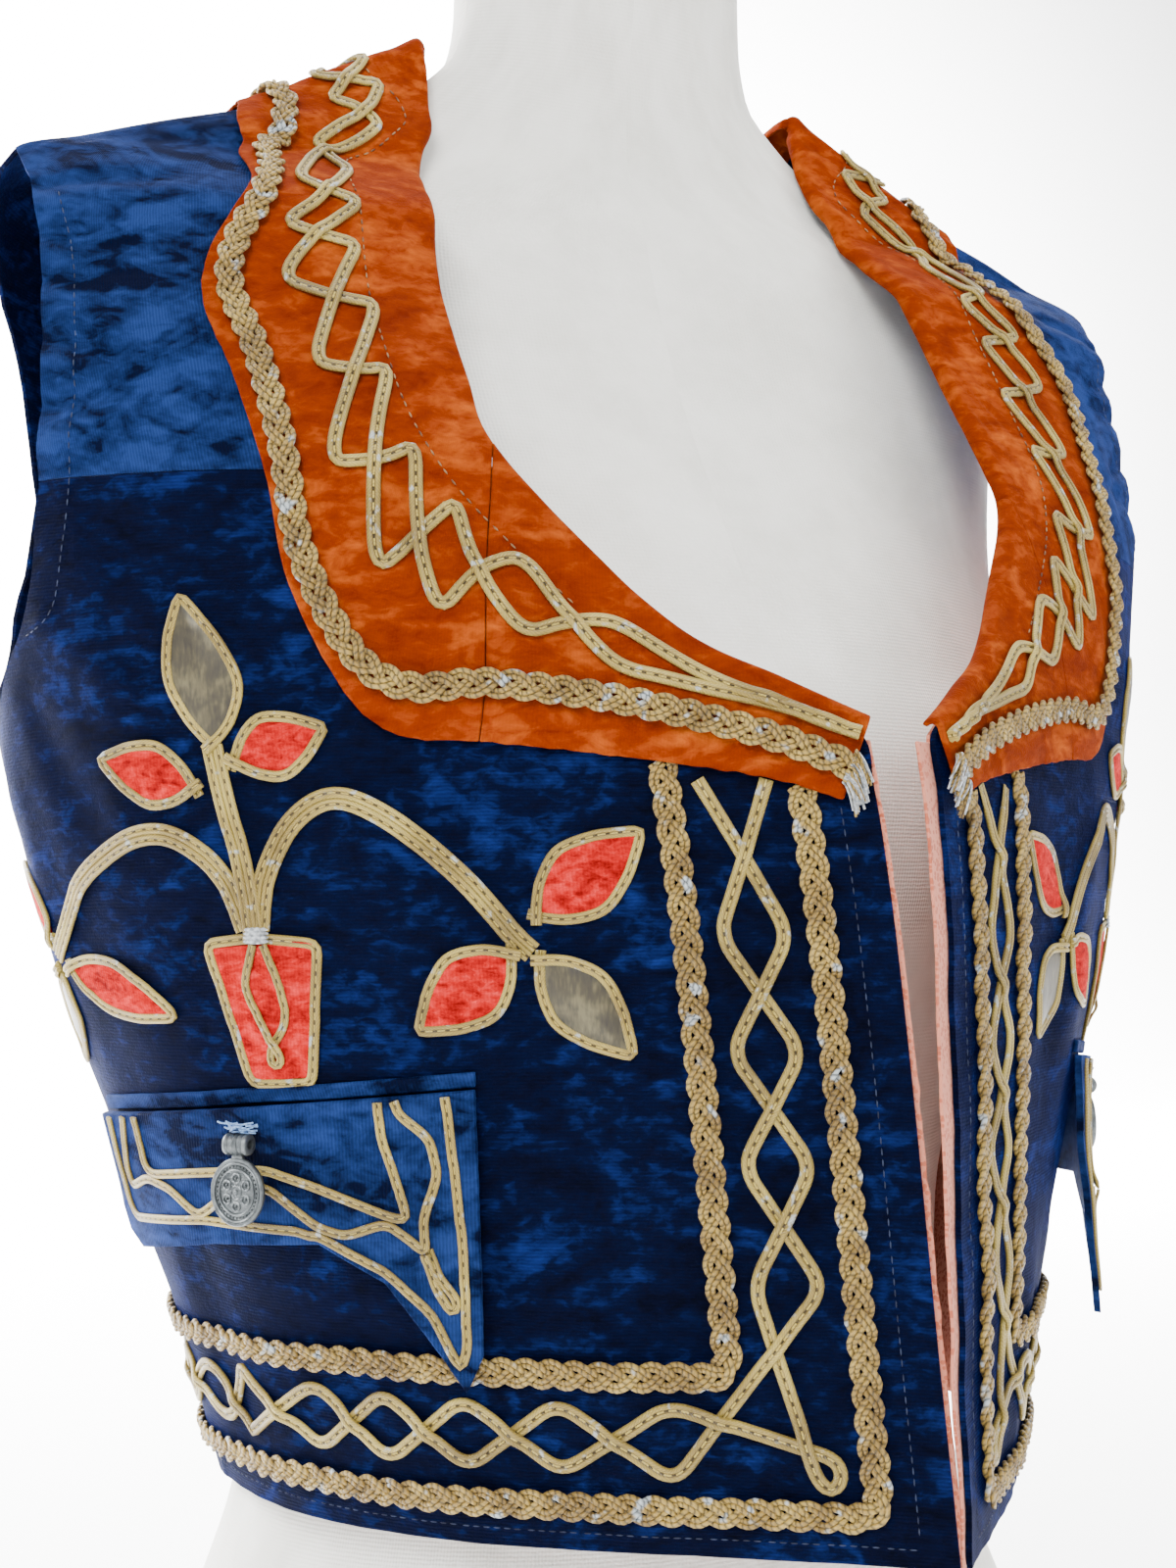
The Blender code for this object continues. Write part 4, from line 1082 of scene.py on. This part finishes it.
def collar_strand(side, starts_out):
    """One soutache strand of the collar, from its front end to the centre back."""
    route = [(0.1, 0.76), (1.3, 0.56 if starts_out else 0.62)]
    route += zigzag(COLLAR_CROSSINGS, COLLAR_CORNER_OUT, COLLAR_CORNER_IN, starts_out)
    last = len(COLLAR_STATIONS) - 1
    route += [(last - 0.05, (COLLAR_CORNER_OUT + COLLAR_CORNER_IN) / 2)]
    station_run, share_run = 22, 50
    flat = [(station * station_run, share * share_run) for station, share in route]
    return [collar_spot(side, along / station_run, across / share_run)
            for along, across in cornered(flat, 5, 2.5)]


for name, side in SIDES.items():
    for label, strand, lift, start in (("border", border_strand, 0.2, under_collar),
                                       ("collar", collar_strand, COLLAR_TOP, None)):
        paths = [path_on(strand(side, starts), lift, 1.5) for starts in (True, False)]
        rises = over_and_under(paths)
        for letter, path, rise in zip("ab", paths, rises):
            cord = corded(f"gold_{label}_{letter}_{name}", [path], [rise], flatten=start)
            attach(cord, "vest")
            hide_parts(f"soutache_{label}_{letter}_{name}")


# ---------------------------------------------------------------- flower pot motif
# A red velvet pot with a stem and two drooping branches of doubled soutache, and nine leaves of
# red velvet and olive satin. Each patch is outlined with soutache that hides its raw edge.

PATCH = 0.8
POT = {"top": 169, "foot": 131, "centre": (187.5, 184.5), "top_width": 32, "foot_width": 18}
# leaf, finish, base_length, base_height, tip_length, tip_height, width
LEAVES = (
    ("leaf_top", "olive satin", 195, 226, 194, 264, 18),
    ("leaf_top_out", "red velvet", 203, 213, 230, 221, 15),
    ("leaf_top_in", "red velvet", 188, 220, 164, 228, 15),
    ("leaf_in_high", "red velvet", 108, 177, 80, 198, 18),
    ("leaf_in_side", "red velvet", 118, 165, 142, 146, 18),
    ("leaf_in_low", "olive satin", 108, 163, 86, 139, 17),
    ("leaf_out_high", "red velvet", 271, 172, 292, 192, 12),
    ("leaf_out_side", "red velvet", 258, 162, 219, 149, 13),
    ("leaf_out_low", "olive satin", 271, 160, 279, 134, 12),
)
STEMS = (
    ("stem", ((188.5, 171), (190, 190), (193, 207), (195, 224))),
    ("branch_in", ((187, 173), (184, 187), (175, 202), (162, 209), (147, 203), (129, 187),
                   (116, 171), (111, 166))),
    ("branch_out", ((191, 173), (196, 187), (205, 196), (216, 200), (230, 197), (249, 186),
                    (262, 171), (267, 166))),
)
LEAF_SHAPE = ((0, 0.1), (0.16, 0.62), (0.42, 1), (0.7, 0.72), (0.88, 0.34), (1, 0.05))

red = velvet("red velvet", (0.15, 0.0015, 0.002), (0.38, 0.006, 0.006), (0.60, 0.035, 0.033),
             (0.36, 0.5, 0.66), 0.010, 0.003, (1.0, 0.2, 0.18), 0.15, rib_along=(1, 0),
             ribbing=0.15)

satin, shader = new_finish("olive satin", 0.42, Specular_IOR_Level=0.5, Sheen_Weight=0.2)
where = add(satin, "TexCoord").outputs["Object"]
combed = add(satin, "Mapping", Vector=where, Rotation=(0, 0.5, 0),
             Scale=(1, 1, 0.22)).outputs[0]
streaks = add(satin, "TexNoise", Vector=combed, Scale=1100.0, Detail=3.0).outputs[0]
slubs = add(satin, "TexNoise", Vector=where, Scale=130.0, Detail=2.0, Distortion=0.6).outputs[0]
tone = math_of(satin, "ADD", math_of(satin, "MULTIPLY", streaks, 0.4),
               math_of(satin, "MULTIPLY", slubs, 0.6))
sheen_tone = ramp(satin, tone, (0.36, (0.012, 0.009, 0.003)), (0.5, (0.034, 0.026, 0.009)),
                  (0.66, (0.10, 0.085, 0.036)))
dress(satin, shader, sheen_tone, tone, 0.0003, 0.6)


def sewing_thread(name, roughness, scale, low, high, **constants):
    """Finish of a plain thread whose dye varies between two (position, colour) stops."""
    material, shader = new_finish(name, roughness, **constants)
    where = add(material, "TexCoord").outputs["Object"]
    dye = add(material, "TexNoise", Vector=where, Scale=scale).outputs[0]
    dress(material, shader, ramp(material, dye, low, high))
    return material


knot_grey = sewing_thread("grey sewing thread", 0.8, 900.0, (0.35, (0.16, 0.17, 0.18)),
                          (0.65, (0.48, 0.50, 0.52)), Specular_IOR_Level=0.3)


def patch(name, side, axis, half_widths, finish):
    """Padded patch round a straight axis, given half widths as (share of the axis, half)."""
    base, tip = Vector(axis[0]), Vector(axis[1])
    along = tip - base
    across = Vector((-along.y, along.x)).normalized()
    fine = smoothed(half_widths, 4)
    near, far, marks = [], [], []
    columns = 10
    for share, half in fine:
        middle = base + along * share
        rows = ([], [], [])
        for i in range(columns + 1):
            offset = half * (2 * i / columns - 1)
            spot = middle + across * offset
            turn = turn_at(side, spot.x, spot.y)
            crown = 0.7 * (1 - (2 * i / columns - 1) ** 2) * math.sin(math.pi * min(
                max(share, 0.02), 0.98)) ** 0.5
            rumple = 0.25 * noise.noise(Vector((spot.x / 3, spot.y / 3, side)))
            rows[0].append(lifted(side, turn, spot.y, 0.1))
            rows[1].append(lifted(side, turn, spot.y, 0.1 + PATCH + crown + rumple))
            rows[2].append((spot.x * METRE, spot.y * METRE))
        for rows_of, row in zip((near, far, marks), rows):
            rows_of.append(row)
    return wall(name, near, far, marks, finish)


def outline(axis, half_widths, outset):
    """Closed route round a patch, from its base up one side to the tip and down the other."""
    base, tip = Vector(axis[0]), Vector(axis[1])
    along = tip - base
    across = Vector((-along.y, along.x)).normalized()
    unit = along.normalized()
    fine = smoothed(half_widths, 5)
    up_side = [tuple(base + along * share + across * (half + outset)) for share, half in fine]
    down_side = [tuple(base + along * share - across * (half + outset)) for share, half in fine]
    crossing = 2.0
    start = tuple(base - unit * 3.2 - across * crossing)
    end = tuple(base - unit * 3.2 + across * crossing)
    return [start] + up_side + [tuple(tip + unit * 1.6)] + down_side[::-1] + [end]


for name, side in SIDES.items():
    pot_axis = ((POT["centre"][1], POT["foot"]), (POT["centre"][0], POT["top"]))
    pot_shape = ((0, POT["foot_width"] / 2), (0.5, 0.25 * (POT["foot_width"] + POT["top_width"])),
                 (1, POT["top_width"] / 2))
    pot = patch(f"velvet_pot_{name}", side, pot_axis, pot_shape, red)
    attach(pot, "vest")
    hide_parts(f"pot_{name}")
    routes = []
    for leaf, finish, base_length, base_height, tip_length, tip_height, width in LEAVES:
        axis = ((base_length, base_height), (tip_length, tip_height))
        shape = [(share, width / 2 * part) for share, part in LEAF_SHAPE]
        piece = patch(f"{leaf}_cloth_{name}", side, axis, shape,
                      red if finish == "red velvet" else satin)
        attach(piece, "vest")
        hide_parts(f"{leaf}_{name}")
        routes.append(outline(axis, shape, 0.9))
    top, foot = POT["top"], POT["foot"]
    centre = POT["centre"][0]
    pot_line = cornered([(centre - 1, top + 1.5), (centre - 17, top), (centre - 12.5, foot - 1),
                         (centre + 6.5, foot - 1.5), (centre + 16.5, top), (centre + 1, top + 1.8)],
                        3, 2)
    drop = cornered([(centre + 1.5, top), (centre + 5.5, 157), (centre + 0.5, 146),
                     (centre - 4.0, 139.5), (centre - 4.2, 135.5), (centre - 1.2, 135.2),
                     (centre - 0.8, 139), (centre - 7.0, 148), (centre - 5.5, 158),
                     (centre - 1.5, top)], 4, 1.5)
    paths = [path_on(along_front(side, cornered(route, 1.2, 2)), 0.3 + 0.12 * (i % 3), 1.5)
             for i, route in enumerate(routes)]
    paths.append(path_on(along_front(side, pot_line), 0.3, 1.5))
    edging = corded(f"motif_outline_{name}", paths, over_and_under(paths), 0.78)
    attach(edging, "vest")
    inner_drop = [path_on(along_front(side, drop), 1.6, 1.2)]
    loop = corded(f"pot_drop_{name}", inner_drop, over_and_under(inner_drop), 0.62)
    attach(loop, "vest")
    for number, (stem, route) in enumerate(STEMS):
        spots = along_front(side, smoothed(route, 9))
        middle = path_on(spots, 0.35 + 0.25 * (number == 0), 1.5)
        pair = []
        for offset in (-1.55, 1.55):
            pair.append([(centre_at + across * offset, along, up, across, run)
                         for centre_at, along, up, across, run in middle])
        cord = corded(f"gold_{stem}_{name}", pair, [[0.0] * len(middle)] * 2, 0.80)
        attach(cord, "vest")
        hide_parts(f"{stem}_{name}")
    work = bmesh.new()
    spot = lifted(side, turn_at(side, POT["centre"][0] + 0.5, 171.5), 171.5, 1.4)
    facing = outward(side, turn_at(side, POT["centre"][0], 171.5), 171.5)
    for i in range(4):
        turned = facing.to_track_quat("Z", "Y").to_matrix().to_4x4()
        turned = (Matrix.Translation((spot + Vector((0, 0, HEM_HEIGHT + 1.1 * (i - 1.5)))) * METRE)
                  @ turned @ Matrix.Diagonal((4.0, 0.8, 1.1, 1)))
        bmesh.ops.create_icosphere(work, subdivisions=2, radius=METRE, matrix=turned)
    knot = finished(work, f"pot_knot_{name}", [knot_grey])
    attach(knot, "vest")


# ---------------------------------------------------------------- pocket flaps
# Royal velvet flaps, sewn down along a narrow welt above the hip and hanging free below it, with
# four lines of thin soutache that follow the outline.

FLAP_TOP = {"in": (128.5, 129), "out": (264, 118)}
FLAP_LOWER_EDGE = ((0.0, 57), (0.035, 47), (0.075, 55), (0.20, 76), (0.34, 86), (0.60, 84),
                   (0.90, 78), (0.97, 82), (1.0, 90))
FLAP_LENGTH = 135       # along its sewn edge
FLAP_WALL = 2.2
FLAP_LIFT = 2.0
FLAP_STAND = {"right": 6, "left": 16}
WELT_WIDTH = 4.0
# share of the way out and drop from the flap's top
FLAP_LINES = (
    ((0.940, 1), (0.925, 27), (0.895, 31.5), (0.62, 31), (0.38, 35), (0.20, 47), (0.10, 60),
     (0.045, 75), (0.030, 70), (0.035, 40), (0.060, 1)),
    ((0.865, 1), (0.890, 16), (0.880, 22), (0.80, 19), (0.72, 22), (0.63, 30), (0.51, 21),
     (0.44, 23), (0.34, 34), (0.28, 37), (0.19, 34), (0.105, 43), (0.115, 34), (0.080, 22),
     (0.095, 12), (0.155, 5), (0.165, 1)),
    ((0.815, 1), (0.800, 16), (0.77, 18), (0.62, 17.5), (0.45, 17.5), (0.34, 23), (0.17, 33),
     (0.145, 33), (0.170, 21), (0.195, 11), (0.200, 1)),
    ((0.105, 42), (0.085, 50), (0.045, 57), (0.060, 60), (0.095, 52), (0.110, 43)),
)


def flap_drop(share):
    """Height of the flap's lower edge at a share of the way out."""
    return read_at([(height, at) for at, height in FLAP_LOWER_EDGE], min(max(share, 0), 1))


def flap_point(side, stand, share, down, extra=0.0):
    """Point of the flap at a share of the way out and a share of the way down."""
    top_length = blend(FLAP_TOP["in"][0], FLAP_TOP["out"][0], share)
    top_height = blend(FLAP_TOP["in"][1], FLAP_TOP["out"][1], share)
    height = blend(top_height, flap_drop(share), down)
    fall = max(top_height - height, 0) / 80
    ripple = 0.9 * noise.noise(Vector((share * 5, height / 22, side + 4)))
    lift = FLAP_LIFT + stand * fall ** 1.3 + extra + ripple * min(fall * 3, 1)
    turn = turn_at(side, top_length, height)
    return place(side, turn, height) + outward(side, turn, height) * lift


for name, side in SIDES.items():
    stand = FLAP_STAND[name]
    shares = sorted({at for at, _ in FLAP_LOWER_EDGE} | {i / 70 for i in range(71)})
    near, far = ([[flap_point(side, stand, share, down / 30, extra) for down in range(31)]
                  for share in shares] for extra in (0, FLAP_WALL))
    marks = [[(share * FLAP_LENGTH * METRE, (flap_drop(share) + down) * METRE)
              for down in range(31)] for share in shares]
    flap = wall(f"velvet_flap_{name}", near, far, marks, royal)
    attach(flap, "vest")
    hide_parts(f"flap_{name}")
    paths = []
    for line in FLAP_LINES:
        fine = cornered([(share * FLAP_LENGTH, drop) for share, drop in line], 3, 2)
        centres, ups = [], []
        for run, drop in fine:
            share = run / FLAP_LENGTH
            top = blend(FLAP_TOP["in"][1], FLAP_TOP["out"][1], share)
            down = min(drop / (top - flap_drop(share)), 0.93)
            centres.append(flap_point(side, stand, share, down, FLAP_WALL + 0.05))
            ahead = flap_point(side, stand, share + 0.01, down) - flap_point(
                side, stand, share - 0.01, down)
            below = flap_point(side, stand, share, down + 0.02) - flap_point(
                side, stand, share, down - 0.02)
            normal = ahead.cross(below).normalized() * side
            ups.append(-normal if normal.dot(outward(side, 0.6, 100)) < 0 else normal)
        paths.append(evenly(centres, ups, 1.4))
    lines = corded(f"flap_lines_{name}", paths, over_and_under(paths), 0.70)
    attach(lines, "vest")
    rows = []
    for i in range(61):
        length = blend(FLAP_TOP["in"][0], FLAP_TOP["out"][0], i / 60)
        middle = blend(FLAP_TOP["in"][1], FLAP_TOP["out"][1], i / 60) + WELT_WIDTH / 2 + 0.6
        rows.append([(side, turn_at(side, length, middle + z), middle + z)
                     for z in (-2.2, -1.3, 0, 1.3, 2.0)])
    welt = cloth(f"velvet_welt_{name}", rows, 0.1, 1.5, royal)
    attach(welt, "vest")
    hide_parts(f"welt_{name}")


# ---------------------------------------------------------------- coins
# A struck oval pewter disc with a beaded rim and a rosette of rings, under a ridged tube bail,
# sewn to each flap with blue thread and free to swing.

BAIL_RISE = 14.0
BAIL_RADIUS = 3.2

pewter, shader = new_finish("pewter", 0.42, Metallic=0.9)
where = add(pewter, "TexCoord").outputs["Object"]
grime = add(pewter, "TexNoise", Vector=where, Scale=420.0, Detail=5.0, Roughness=0.7).outputs[0]
dress(pewter, shader, ramp(pewter, grime, (0.35, (0.09, 0.10, 0.105)), (0.55, (0.15, 0.165, 0.17)),
                           (0.75, (0.22, 0.235, 0.235))), grime, 0.0002, 0.5)
blue_thread = sewing_thread("blue thread", 0.7, 1200.0, (0.35, (0.05, 0.12, 0.30)),
                            (0.65, (0.18, 0.34, 0.60)), Sheen_Weight=0.3)


def ring_at(work, radius, thickness, centre, segments):
    """Adds a thin ring, spun from a small circle, lying in the disc's face."""
    made = bmesh.ops.create_circle(work, segments=6, radius=thickness)
    verts = made["verts"]
    bmesh.ops.rotate(work, verts=verts, matrix=Matrix.Rotation(math.radians(90), 3, "X"))
    bmesh.ops.translate(work, verts=verts, vec=(radius, 0, 0))
    geom = verts + list(dict.fromkeys(edge for vert in verts for edge in vert.link_edges))
    before = set(work.verts)
    bmesh.ops.spin(work, geom=geom, cent=(0, 0, 0), axis=(0, 0, 1), angle=2 * math.pi,
                   steps=segments, use_merge=True)
    ring = verts + [vert for vert in work.verts if vert not in before]
    ring = [vert for vert in ring if vert.is_valid]
    bmesh.ops.translate(work, verts=ring, vec=centre)


for name, side in SIDES.items():
    joint = next(j for j in frame["joints"] if j["child"] == f"coin_{name}")
    thread = Vector(joint["pos_m"])
    axis = Vector(joint["axis"])
    level = Vector((axis.y, -axis.x, 0)).normalized()
    if level.y > 0:
        level = -level
    facing = Matrix((Vector((-level.y, level.x, 0)), Vector((0, 0, 1)), level)).transposed()
    stand_at = Matrix.Translation(thread) @ facing.to_4x4()
    work = bmesh.new()
    profile = ((0.0, 1.15), (3.0, 1.05), (7.2, 0.85), (9.4, 0.80), (9.8, 1.15), (10.6, 1.2),
               (11.0, 0.8), (11.0, 0.0), (10.7, -0.55), (0.0, -0.6))
    points = [work.verts.new((x, 0, z)) for x, z in profile]
    edges = [work.edges.new(pair) for pair in zip(points, points[1:])]
    bmesh.ops.spin(work, geom=points + edges, cent=(0, 0, 0), axis=(0, 0, 1),
                   angle=2 * math.pi, steps=56, use_merge=True)
    bmesh.ops.remove_doubles(work, verts=work.verts, dist=0.001)
    bmesh.ops.recalc_face_normals(work, faces=work.faces)
    for radius, thickness in ((9.3, 0.34), (7.2, 0.34), (2.1, 0.32)):
        ring_at(work, radius, thickness, (0, 0, 1.05), 48)
    for i in range(6):
        angle = math.radians(60 * i + 30)
        at = (4.5 * math.cos(angle), 4.5 * math.sin(angle), 1.15)
        ring_at(work, 1.5, 0.34, at, 16)
        bmesh.ops.create_icosphere(work, subdivisions=1, radius=0.5,
                                   matrix=Matrix.Translation(at))
    bmesh.ops.create_icosphere(work, subdivisions=2, radius=0.95,
                               matrix=Matrix.Translation((0, 0, 0.9)))
    for i in range(36):
        angle = math.radians(10 * i)
        bmesh.ops.create_icosphere(work, subdivisions=1, radius=0.42, matrix=Matrix.Translation(
            (8.25 * math.cos(angle), 8.25 * math.sin(angle), 0.95)))
    bmesh.ops.scale(work, verts=work.verts, vec=(0.79, 0.87, 1))
    bmesh.ops.translate(work, verts=work.verts, vec=(0, -BAIL_RISE + 0.8, 0))
    ribs = ((-4.0, 2.3), (-3.7, 2.9), (-2.9, 3.1), (-2.2, 2.6), (-1.5, 3.1), (-0.7, 2.6),
            (0.0, 3.2), (0.7, 2.6), (1.5, 3.1), (2.2, 2.6), (2.9, 3.1), (3.7, 2.9), (4.0, 2.3))
    points = [work.verts.new((x, r, 0)) for x, r in ribs]
    points += [work.verts.new((x, r, 0)) for x, r in ((3.9, 1.3), (-3.9, 1.3))]
    edges = [work.edges.new((a, b)) for a, b in zip(points, points[1:] + points[:1])]
    bmesh.ops.spin(work, geom=points + edges, cent=(0, 0, 0), axis=(1, 0, 0),
                   angle=2 * math.pi, steps=28, use_merge=True)
    neck = bmesh.ops.create_cube(work, size=1, matrix=Matrix.Translation((0, -3.4, 0.2))
                                 @ Matrix.Diagonal((3.4, 1.6, 1.5, 1)))
    neck_edges = list(dict.fromkeys(edge for vert in neck["verts"] for edge in vert.link_edges))
    bmesh.ops.bevel(work, geom=neck_edges, offset=0.4, segments=2, affect="EDGES", profile=0.5,
                    material=-1)
    bmesh.ops.recalc_face_normals(work, faces=work.faces)
    bmesh.ops.scale(work, verts=work.verts, vec=(METRE, METRE, METRE))
    bmesh.ops.transform(work, verts=work.verts, matrix=stand_at)
    coin = finished(work, f"struck_coin_{name}", [pewter], smooth=40)
    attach(coin, f"coin_{name}")
    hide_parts(f"coin_{name}")

    rng = random.Random(11 + side)
    work = bmesh.new()
    pattern = work.loops.layers.uv.new("cloth")
    across = Vector((-level.y, level.x, 0))
    for i in range(26):
        start = (thread / METRE - Vector((0, 0, HEM_HEIGHT)) + level * (BAIL_RADIUS - 3.5)
                 + Vector((0, 0, 3.0 + rng.uniform(0, 2.6))) + across * rng.uniform(-4, 4))
        heading = across * rng.choice((-1, 1)) * rng.uniform(0.6, 1) + Vector(
            (0, 0, rng.uniform(-0.1, 0.5))) + level * rng.uniform(-0.05, 0.35)
        points = [start + heading * t + level * (0.9 * math.sin(t / 4 * math.pi))
                  for t in (0, 1, 2, 3, 4)]
        fibre(work, pattern, points, level, 0.9, 0.26)
    bmesh.ops.recalc_face_normals(work, faces=work.faces)
    tuft = finished(work, f"coin_thread_{name}", [blue_thread], smooth=80)
    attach(tuft, "vest")


# ---------------------------------------------------------------- topstitching and loose ends
# Rows of hand stitches hold the turned edges: pale grey by the front edge, the hem and the
# armholes, and brown along the neck of the collar. The plaits' cut ends fray at the collar.

pale_thread = sewing_thread("pale topstitch", 0.8, 160.0, (0.38, (0.002, 0.004, 0.018)),
                            (0.62, (0.022, 0.034, 0.075)))
brown_thread = sewing_thread("brown topstitch", 0.8, 200.0, (0.4, (0.06, 0.022, 0.006)),
                             (0.6, (0.24, 0.13, 0.05)))


def stitched(name, runs, length, gap, radius, finish):
    """Row of small stitches along each path, each a short rounded dash."""
    work = bmesh.new()
    for path in runs:
        step = length + gap
        k = 0
        for n in range(int(path[-1][4] / step)):
            while k < len(path) - 1 and path[k][4] < (n + 0.5) * step:
                k += 1
            centre, along, up, across, _ = path[k]
            turned = Matrix((across, up, along)).transposed().to_4x4()
            at = Matrix.Translation((centre + Vector((0, 0, HEM_HEIGHT))) * METRE)
            bmesh.ops.create_icosphere(
                work, subdivisions=1, radius=METRE,
                matrix=at @ turned @ Matrix.Diagonal((radius, radius, length / 2, 1)))
    piece = finished(work, name, [finish], smooth=80)
    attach(piece, "vest")
    return piece


for name, side in SIDES.items():
    edge_route = [(edge_length(height) + 10, height) for height in range(206, 5, -4)]
    hem_route = [(blend(edge_length(5) + 10, 330, i / 60), 5) for i in range(61)]
    runs = [path_on(along_front(side, edge_route), 0.05, 1.0),
            path_on(along_front(side, hem_route), 0.05, 1.0)]
    arm = smoothed([(turn - 0.055, height + 6 * (turn > 0.9)) for turn, height in
                    ARMHOLE_FRONT[2:9]], 8)
    runs.append(path_on([(side, turn, height) for turn, height in arm], 0.05, 1.0))
    stitched(f"edge_stitches_{name}", runs, 2.2, 1.0, 0.22, pale_thread)
    neck = [(0.245, 261), (0.283, 278), (0.322, 298), (0.347, 323), (0.355, 353), (0.348, 386),
            (0.352, 408), (0.380, 424), (0.440, 434), (0.560, 443), (0.760, 450), (0.990, 454)]
    runs = [path_on([(side, turn, height) for turn, height in smoothed(neck, 8)],
                    COLLAR_GAP + COLLAR + 0.25, 1.0)]
    stitched(f"neck_stitches_{name}", runs, 2.4, 1.2, 0.3, brown_thread)

    rng = random.Random(5 + side)
    for label, finish, count, reach in (("gold", gold_cord, 34, 11), ("grey", knot_grey, 20, 13)):
        work = bmesh.new()
        pattern = work.loops.layers.uv.new("cloth")
        end = collar_spot(side, 0.0, 0)
        base = lifted(*end, COLLAR_TOP + 1.2)
        up = outward(*end)
        towards = (lifted(*collar_spot(side, 0.0, 0), 0) - lifted(*collar_spot(side, 0.6, 0), 0))
        towards.normalize()
        spread = towards.cross(up).normalized()
        for i in range(count):
            offset = rng.uniform(-5, 5)
            start = base + spread * offset + up * rng.uniform(-0.8, 1.4) - towards * 1.5
            long = reach * rng.uniform(0.55, 1.0)
            sway = rng.uniform(-0.25, 0.25)
            points = []
            for t in (0, 0.25, 0.5, 0.75, 1):
                sink = -7.5 * t ** 2.2
                points.append(start + towards * long * 0.45 * t + spread * sway * long * t
                              + up * (1.2 * math.sin(t * math.pi) - 0.9 * t)
                              + Vector((0, 0, sink * (0.7 + 0.3 * rng.random()))))
            fibre(work, pattern, points, up, 1.2, 0.36)
        bmesh.ops.recalc_face_normals(work, faces=work.faces)
        fray = finished(work, f"frayed_{label}_{name}", [finish], smooth=80)
        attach(fray, "vest")


# ---------------------------------------------------------------- dress form
# A limbless form on a flat base, padded and covered with off-white linen in long gores that are
# seamed from the neck to the base. Only the vest's fit rests on it; it has no arms.

# the same columns as the vest's sections
FORM_SECTIONS = (
    (-200, 156, 116, 116, 0, 0, 0),
    (-150, 163, 119, 122, 0, 0, 0),
    (-90, 158, 114, 118, 0, 0, 0),
    (-40, 140, 102, 104, 0, 0, 0),
    (-10, 130, 95, 93, 0, 0, 0),
    (30, 123, 91, 87, 0, 0, 0),
    (75, 124, 94, 88, 0, 0, 0),
    (130, 135, 106, 94, 0, 0, 0),
    (185, 148, 124, 100, 0, 0, 0),
    (220, 153, 130, 104, 0, 0, 0),
    (260, 156, 108, 107, -1, 0, 0),
    (310, 160, 78, 107, -4, 0, 0),
    (350, 165, 56, 100, -7, 0, 0),
    (380, 168, 44, 90, -9, 0, 0),
    (398, 166, 38, 80, -10, 0, 0),
    (408, 156, 35, 74, -11, 0, 0),
    (416, 138, 32, 69, -11, 0, 0),
    (426, 112, 26, 62, -11, 0, 0),
    (440, 90, 23, 55, -10, 0, 0),
    (456, 70, 23, 47, -9, 0, 0),
    (470, 58, 26, 43, -8, 0, 0),
    (490, 54, 30, 42, -8, 0, 0),
    (530, 53, 36, 40, -8, 0, 0),
)
FORM_SEAMS = (0.0, 0.42, 1.0, 1.5, 2.0)

linen, shader = new_finish("form linen", 0.85, Sheen_Weight=0.1, Specular_IOR_Level=0.25)
marks = add(linen, "UVMap", {"uv_map": "cloth"}).outputs[0]
warp = add(linen, "TexWave", {"bands_direction": "X"}, Vector=marks, Scale=260.0,
           Distortion=1.2, Detail=1.0).outputs[1]
weft = add(linen, "TexWave", {"bands_direction": "Y"}, Vector=marks, Scale=260.0,
           Distortion=1.2, Detail=1.0).outputs[1]
weave = math_of(linen, "ADD", warp, weft)
slubs = add(linen, "TexNoise", Vector=marks, Scale=26.0, Detail=5.0, Roughness=0.6).outputs[0]
tone = ramp(linen, slubs, (0.3, (0.68, 0.67, 0.62)), (0.55, (0.80, 0.79, 0.74)),
            (0.8, (0.86, 0.86, 0.82)))
dress(linen, shader, tone, math_of(linen, "ADD", weave,
                                   math_of(linen, "MULTIPLY", slubs, 3.0)), 0.0003, 0.35)

work = bmesh.new()
pattern = work.loops.layers.uv.new("cloth")
around = 160
heights = [blend(-199.5, 529.5, i / 150) for i in range(151)]
rows = [(-200, 0.0), (-200, 0.94), (-199.9, 0.985)] + [(height, 1.0) for height in heights]
rows += [(531, 0.97), (533, 0.90), (534, 0.8), (534, 0.0)]
made = bmesh.ops.create_grid(work, x_segments=around, y_segments=len(rows) - 1, size=1)
mark_of = {}
for index, vert in enumerate(made["verts"]):
    row, column = divmod(index, around + 1)
    height, draw = rows[row]
    share = (column % around) * 4 / around
    side = -1 if share < 2 else 1
    turn = share if share < 2 else 4 - share
    point = place(side, turn, min(height, 530), FORM_SECTIONS)
    nearest = min(abs(turn - seam) for seam in FORM_SEAMS)
    sink = 1.0 - 0.004 * math.exp(-(nearest / 0.012) ** 2)
    vert.co = Vector((point.x * draw * sink, point.y * draw * sink, height + HEM_HEIGHT)) * METRE
    mark_of[vert] = (column * 0.0056, height * METRE)
for face in work.faces:
    for loop in face.loops:
        loop[pattern].uv = mark_of[loop.vert]
bmesh.ops.remove_doubles(work, verts=work.verts, dist=1e-6)
bmesh.ops.recalc_face_normals(work, faces=work.faces)
form = finished(work, "linen_form", [linen], smooth=60)
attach(form, "vest")
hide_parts("dress_form")
